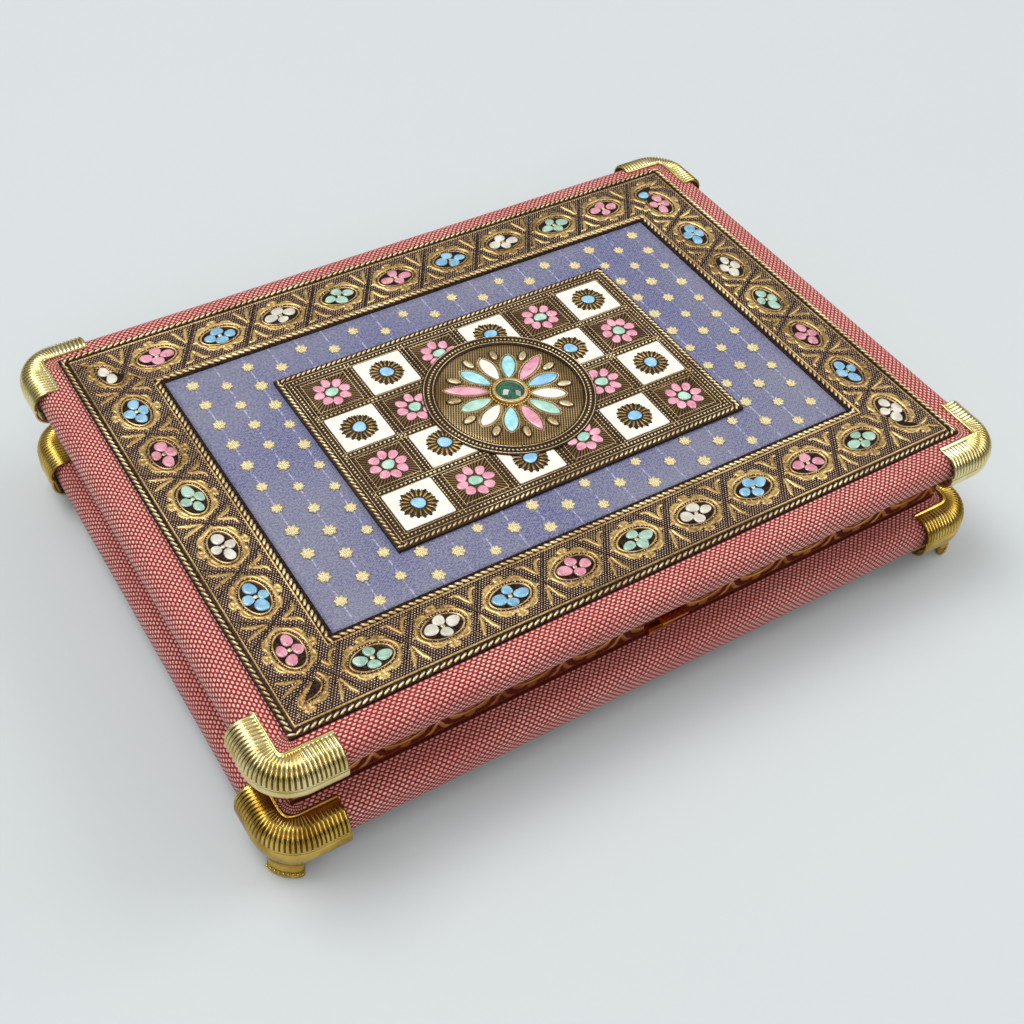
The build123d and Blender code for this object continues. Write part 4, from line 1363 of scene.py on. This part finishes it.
# %% Feet
LEG_LEVELS = [                     # height, outer radius, half of the angle that it spans
    (11.4, 14.4, 66), (10.4, 14.3, 60), (9.4, 14.1, 53), (8.4, 13.8, 46), (7.4, 13.45, 39.5), (6.6, 13.2, 35),
    (6.35, 12.85, 34), (6.1, 13.1, 33.5), (5.3, 12.9, 31), (5.0, 12.55, 30), (4.7, 12.9, 30), (4.0, 13.0, 29),
    (3.3, 13.1, 28.5), (3.0, 13.5, 28.5), (2.75, 13.2, 28.2), (1.2, 13.2, 28.2), (1.0, 13.6, 28.6),
    (0.6, 13.75, 28.8), (0.15, 13.7, 28.8), (0.0, 13.5, 28.5)]
LEG_DEPTH = 3.4                    # from the leg's outer face to its inner face
LEG_STEPS = 40
LEG_BEADS = 12
LEG_BEAD_LEVEL = 2.05


def round_corner(sx, sy, r, a, z):
    """Point at a radius and an angle round the middle of a corner's bend."""
    return sx * (GUARD_X - GUARD_R + r * math.cos(a)), sy * (GUARD_Y - GUARD_R + r * math.sin(a)), z


def leg_mesh(name, sx, sy):
    """Stack of rounded sections, each bent round the corner's middle."""
    points = []
    for z, outer_r, half_angle in LEG_LEVELS:
        for t in (2 * math.pi * i / LEG_STEPS for i in range(LEG_STEPS)):
            across = math.copysign(abs(math.cos(t)) ** 0.75, math.cos(t))
            out = math.copysign(abs(math.sin(t)) ** 0.6, math.sin(t))
            r = outer_r - LEG_DEPTH / 2 + LEG_DEPTH / 2 * out
            points.append(round_corner(sx, sy, r, math.radians(45 + half_angle * across), z))
    faces = grid_faces(len(LEG_LEVELS), LEG_STEPS, close_columns=True)
    faces.append(list(range(LEG_STEPS)))
    faces.append([(len(LEG_LEVELS) - 1) * LEG_STEPS + i for i in range(LEG_STEPS)][::-1])
    return outward(new_piece(name, points, faces, gold_plate))


def leg_bead_line(sx, sy):
    angles = [math.radians(45 + 49 * (i / (LEG_BEADS - 1) - 0.5)) for i in range(LEG_BEADS)]
    return [round_corner(sx, sy, 13.45, a, LEG_BEAD_LEVEL) for a in angles], False


for name, (sx, sy) in CORNERS.items():
    foot = guard_mesh("foot_guard_" + name, sx, sy, BASE_BOTTOM - 1.0, BASE_TOP + 1.0, foot_gold, False)
    settle(foot, "base", "corner_foot_" + name)
    settle(leg_mesh("foot_leg_" + name, sx, sy), "base")
foot_beads = beads("foot_beads", [leg_bead_line(sx, sy) for sx, sy in CORNERS.values()], 1.35, (1.1, 1.1, 1.1),
                   gold_plate)
settle(foot_beads, "base")


# %% [markdown]
# ## Neck
# The recessed walls carry the same stamped strip without the ropes. It is mostly in shadow under the lid, but
# it shows along the front and, from low down, all round.

# %% Neck strips
NECK_STEP = 0.5
NECK_PITCH = 22.5
NECK_SQUEEZE = 1.15                # the ornament is this much lower than on the frame
NECK_EMBOSS = 0.45
NECK_FACE = 0.65                   # from the wall to the strip's ground


def make_neck_brass():
    material, tree, shader, patches, grain = new_material("neck_brass_painted_shade", 0.42, 0.8, 45.0, 1200.0)
    # Painted shade: the neck's brass is coloured far darker and redder than the frame's, for the shade under
    # the lid.
    top = smooth_step(tree, attribute(tree, "relief"), 0.2, 0.6)
    dark = mix(tree, grain, "#4E150D", "#7A2C1A")
    bright = mix(tree, patches, "#9C5A2C", "#D09650")
    finish(tree, shader, grain, 0.3, 0.00015, Base_Color=mix(tree, top, dark, bright))
    return material


neck_brass_painted_shade = make_neck_brass()


def neck_strip(side):
    long_side, sign = facing(side)
    low, high = node_box("neck_band_" + side)
    wall, half_length = (WALL_Y, high[0]) if long_side else (WALL_X, high[1])
    middle, half = (low[2] + high[2]) / 2, (high[2] - low[2]) / 2
    along = np.linspace(-half_length, half_length, int(2 * half_length / NECK_STEP) + 1)
    v = np.linspace(-half, half, int(2 * half / NECK_STEP) + 1)
    v, along = np.meshgrid(v, along, indexing="ij")
    height, bare = strip_relief(along, v * NECK_SQUEEZE, NECK_PITCH, 0.0, half * NECK_SQUEEZE)
    out = sign * (wall + NECK_FACE) + sign * (NECK_EMBOSS * height - BARE_DEPTH * bare)
    shown = np.stack([along, out, v + middle] if long_side else [out, along, v + middle], -1)
    strip = backed_sheet("neck_" + side, shown, 1 if long_side else 0, sign * wall, neck_brass_painted_shade,
                         relief=(height, 0.0))
    settle(strip, "base", "neck_band_" + side)


for side in SIDES:
    neck_strip(side)


# %% [markdown]
# ## Inside, underside and fittings
# When the lid is open, a maroon velvet lining shows in the tray and under the lid, over dividers covered in the
# same cloth. The underside has a plain paper. Hinges, pins, screws, clasp and knob keep their solids. The clasp
# gets an amber lacquer over its brass, and the rest is plain pressed brass.

# %% Velvet, paper and board
def make_velvet():
    material, tree, shader, patches, grain = new_material("maroon_velvet", 0.9, 0.0, 60.0, 2600.0)
    colour = tint(tree, grain, 0.4, mix(tree, patches, "#5E0F1E", "#8A1E30"), "#A8324A")
    finish(tree, shader, grain, 0.4, 0.0003, Base_Color=colour, Sheen_Weight=0.8, Sheen_Roughness=0.3,
           Sheen_Tint="#E08A98")
    return material


def make_paper():
    material, tree, shader, patches, grain = new_material("covering_paper", 0.85, 0.0, 30.0, 900.0)
    colour = tint(tree, grain, 0.3, mix(tree, patches, "#4A1A20", "#5C242A"), "#7A3A3E")
    finish(tree, shader, grain, 0.2, 0.0002, Base_Color=colour)
    return material


velvet = make_velvet()
paper = make_paper()
glued_sheet("tray_velvet", "tray_lining", velvet, "base", 0.1)
glued_sheet("lid_velvet", "lid_lining", velvet, "lid", 0.1, faces_up=False)

# %% Finish the solids that stay
FINISHES = (
    (("wall_", "long_divider", "cross_divider", "lid_board", "base_board"), velvet),
    (("bottom_paper",), paper),
    (("clasp",), amber_brass),
    (("hinge", "catch"), fitting_brass),
    (("centre_plate",), dark_brass),
    (("stone_bezel",), bead_brass),
    (("centre_stone",), green_stone),
)
for node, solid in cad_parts.items():
    for starts, material in FINISHES:
        if node.startswith(starts):
            solid.data.materials.clear()
            solid.data.materials.append(material)


# %% [markdown]
# ## Floor and light
# The box stands on a plain pale floor in soft studio light: a large lamp high at the back left, a weaker one
# from the right and another from the front. The metals reflect a surround that is paler overhead and darker at
# the horizon.

# %% Floor
FLOOR_HALF = 3000.0


def make_floor_material():
    material = bpy.data.materials.new("pale_floor")
    material.use_nodes = True
    tree = material.node_tree
    shader = tree.nodes["Principled BSDF"]
    shader.inputs["Roughness"].default_value = 0.9
    soft = noise(tree, coordinates(tree), 3.0)
    put(tree, shader.inputs["Base Color"], mix(tree, soft, "#B5B9BA", "#B9BDBE"))
    return material


floor_points, _ = rectangle(FLOOR_HALF, FLOOR_HALF, 0)
new_piece("floor", floor_points, [(0, 1, 2, 3)], make_floor_material(), smooth=False)

# %% Lamps and surround
LAMP_TARGET = Vector((0, 0, 30)) * MM


def area_lamp(name, place_mm, size_mm, power):
    lamp = bpy.data.lights.new(name, "AREA")
    lamp.shape = "RECTANGLE"
    lamp.size, lamp.size_y = (value * MM for value in size_mm)
    lamp.energy = power
    place = Vector(place_mm) * MM
    aim = (LAMP_TARGET - place).to_track_quat("-Z", "Y")
    place_object(name, lamp).matrix_world = Matrix.Translation(place) @ aim.to_matrix().to_4x4()


area_lamp("key", (-700, 800, 2700), (1700, 1500), 60)
area_lamp("fill", (2000, -500, 1900), (1500, 1500), 26)
area_lamp("front", (-900, -2000, 1900), (1500, 1200), 22)

world = bpy.data.worlds.new("surround")
bpy.context.scene.world = world
world.use_nodes = True
sky_tree = world.node_tree
sky = sky_tree.nodes["Background"]
upward = add_node(sky_tree, "ShaderNodeSeparateXYZ", Vector=coordinates(sky_tree, "Generated")).outputs[2]
overhead = smooth_step(sky_tree, upward, 0.05, 0.9)
put(sky_tree, sky.inputs["Color"], mix(sky_tree, overhead, "#858A8D", "#F4F6F7"))
sky.inputs["Strength"].default_value = 0.72

bpy.context.scene.view_settings.view_transform = "Standard"
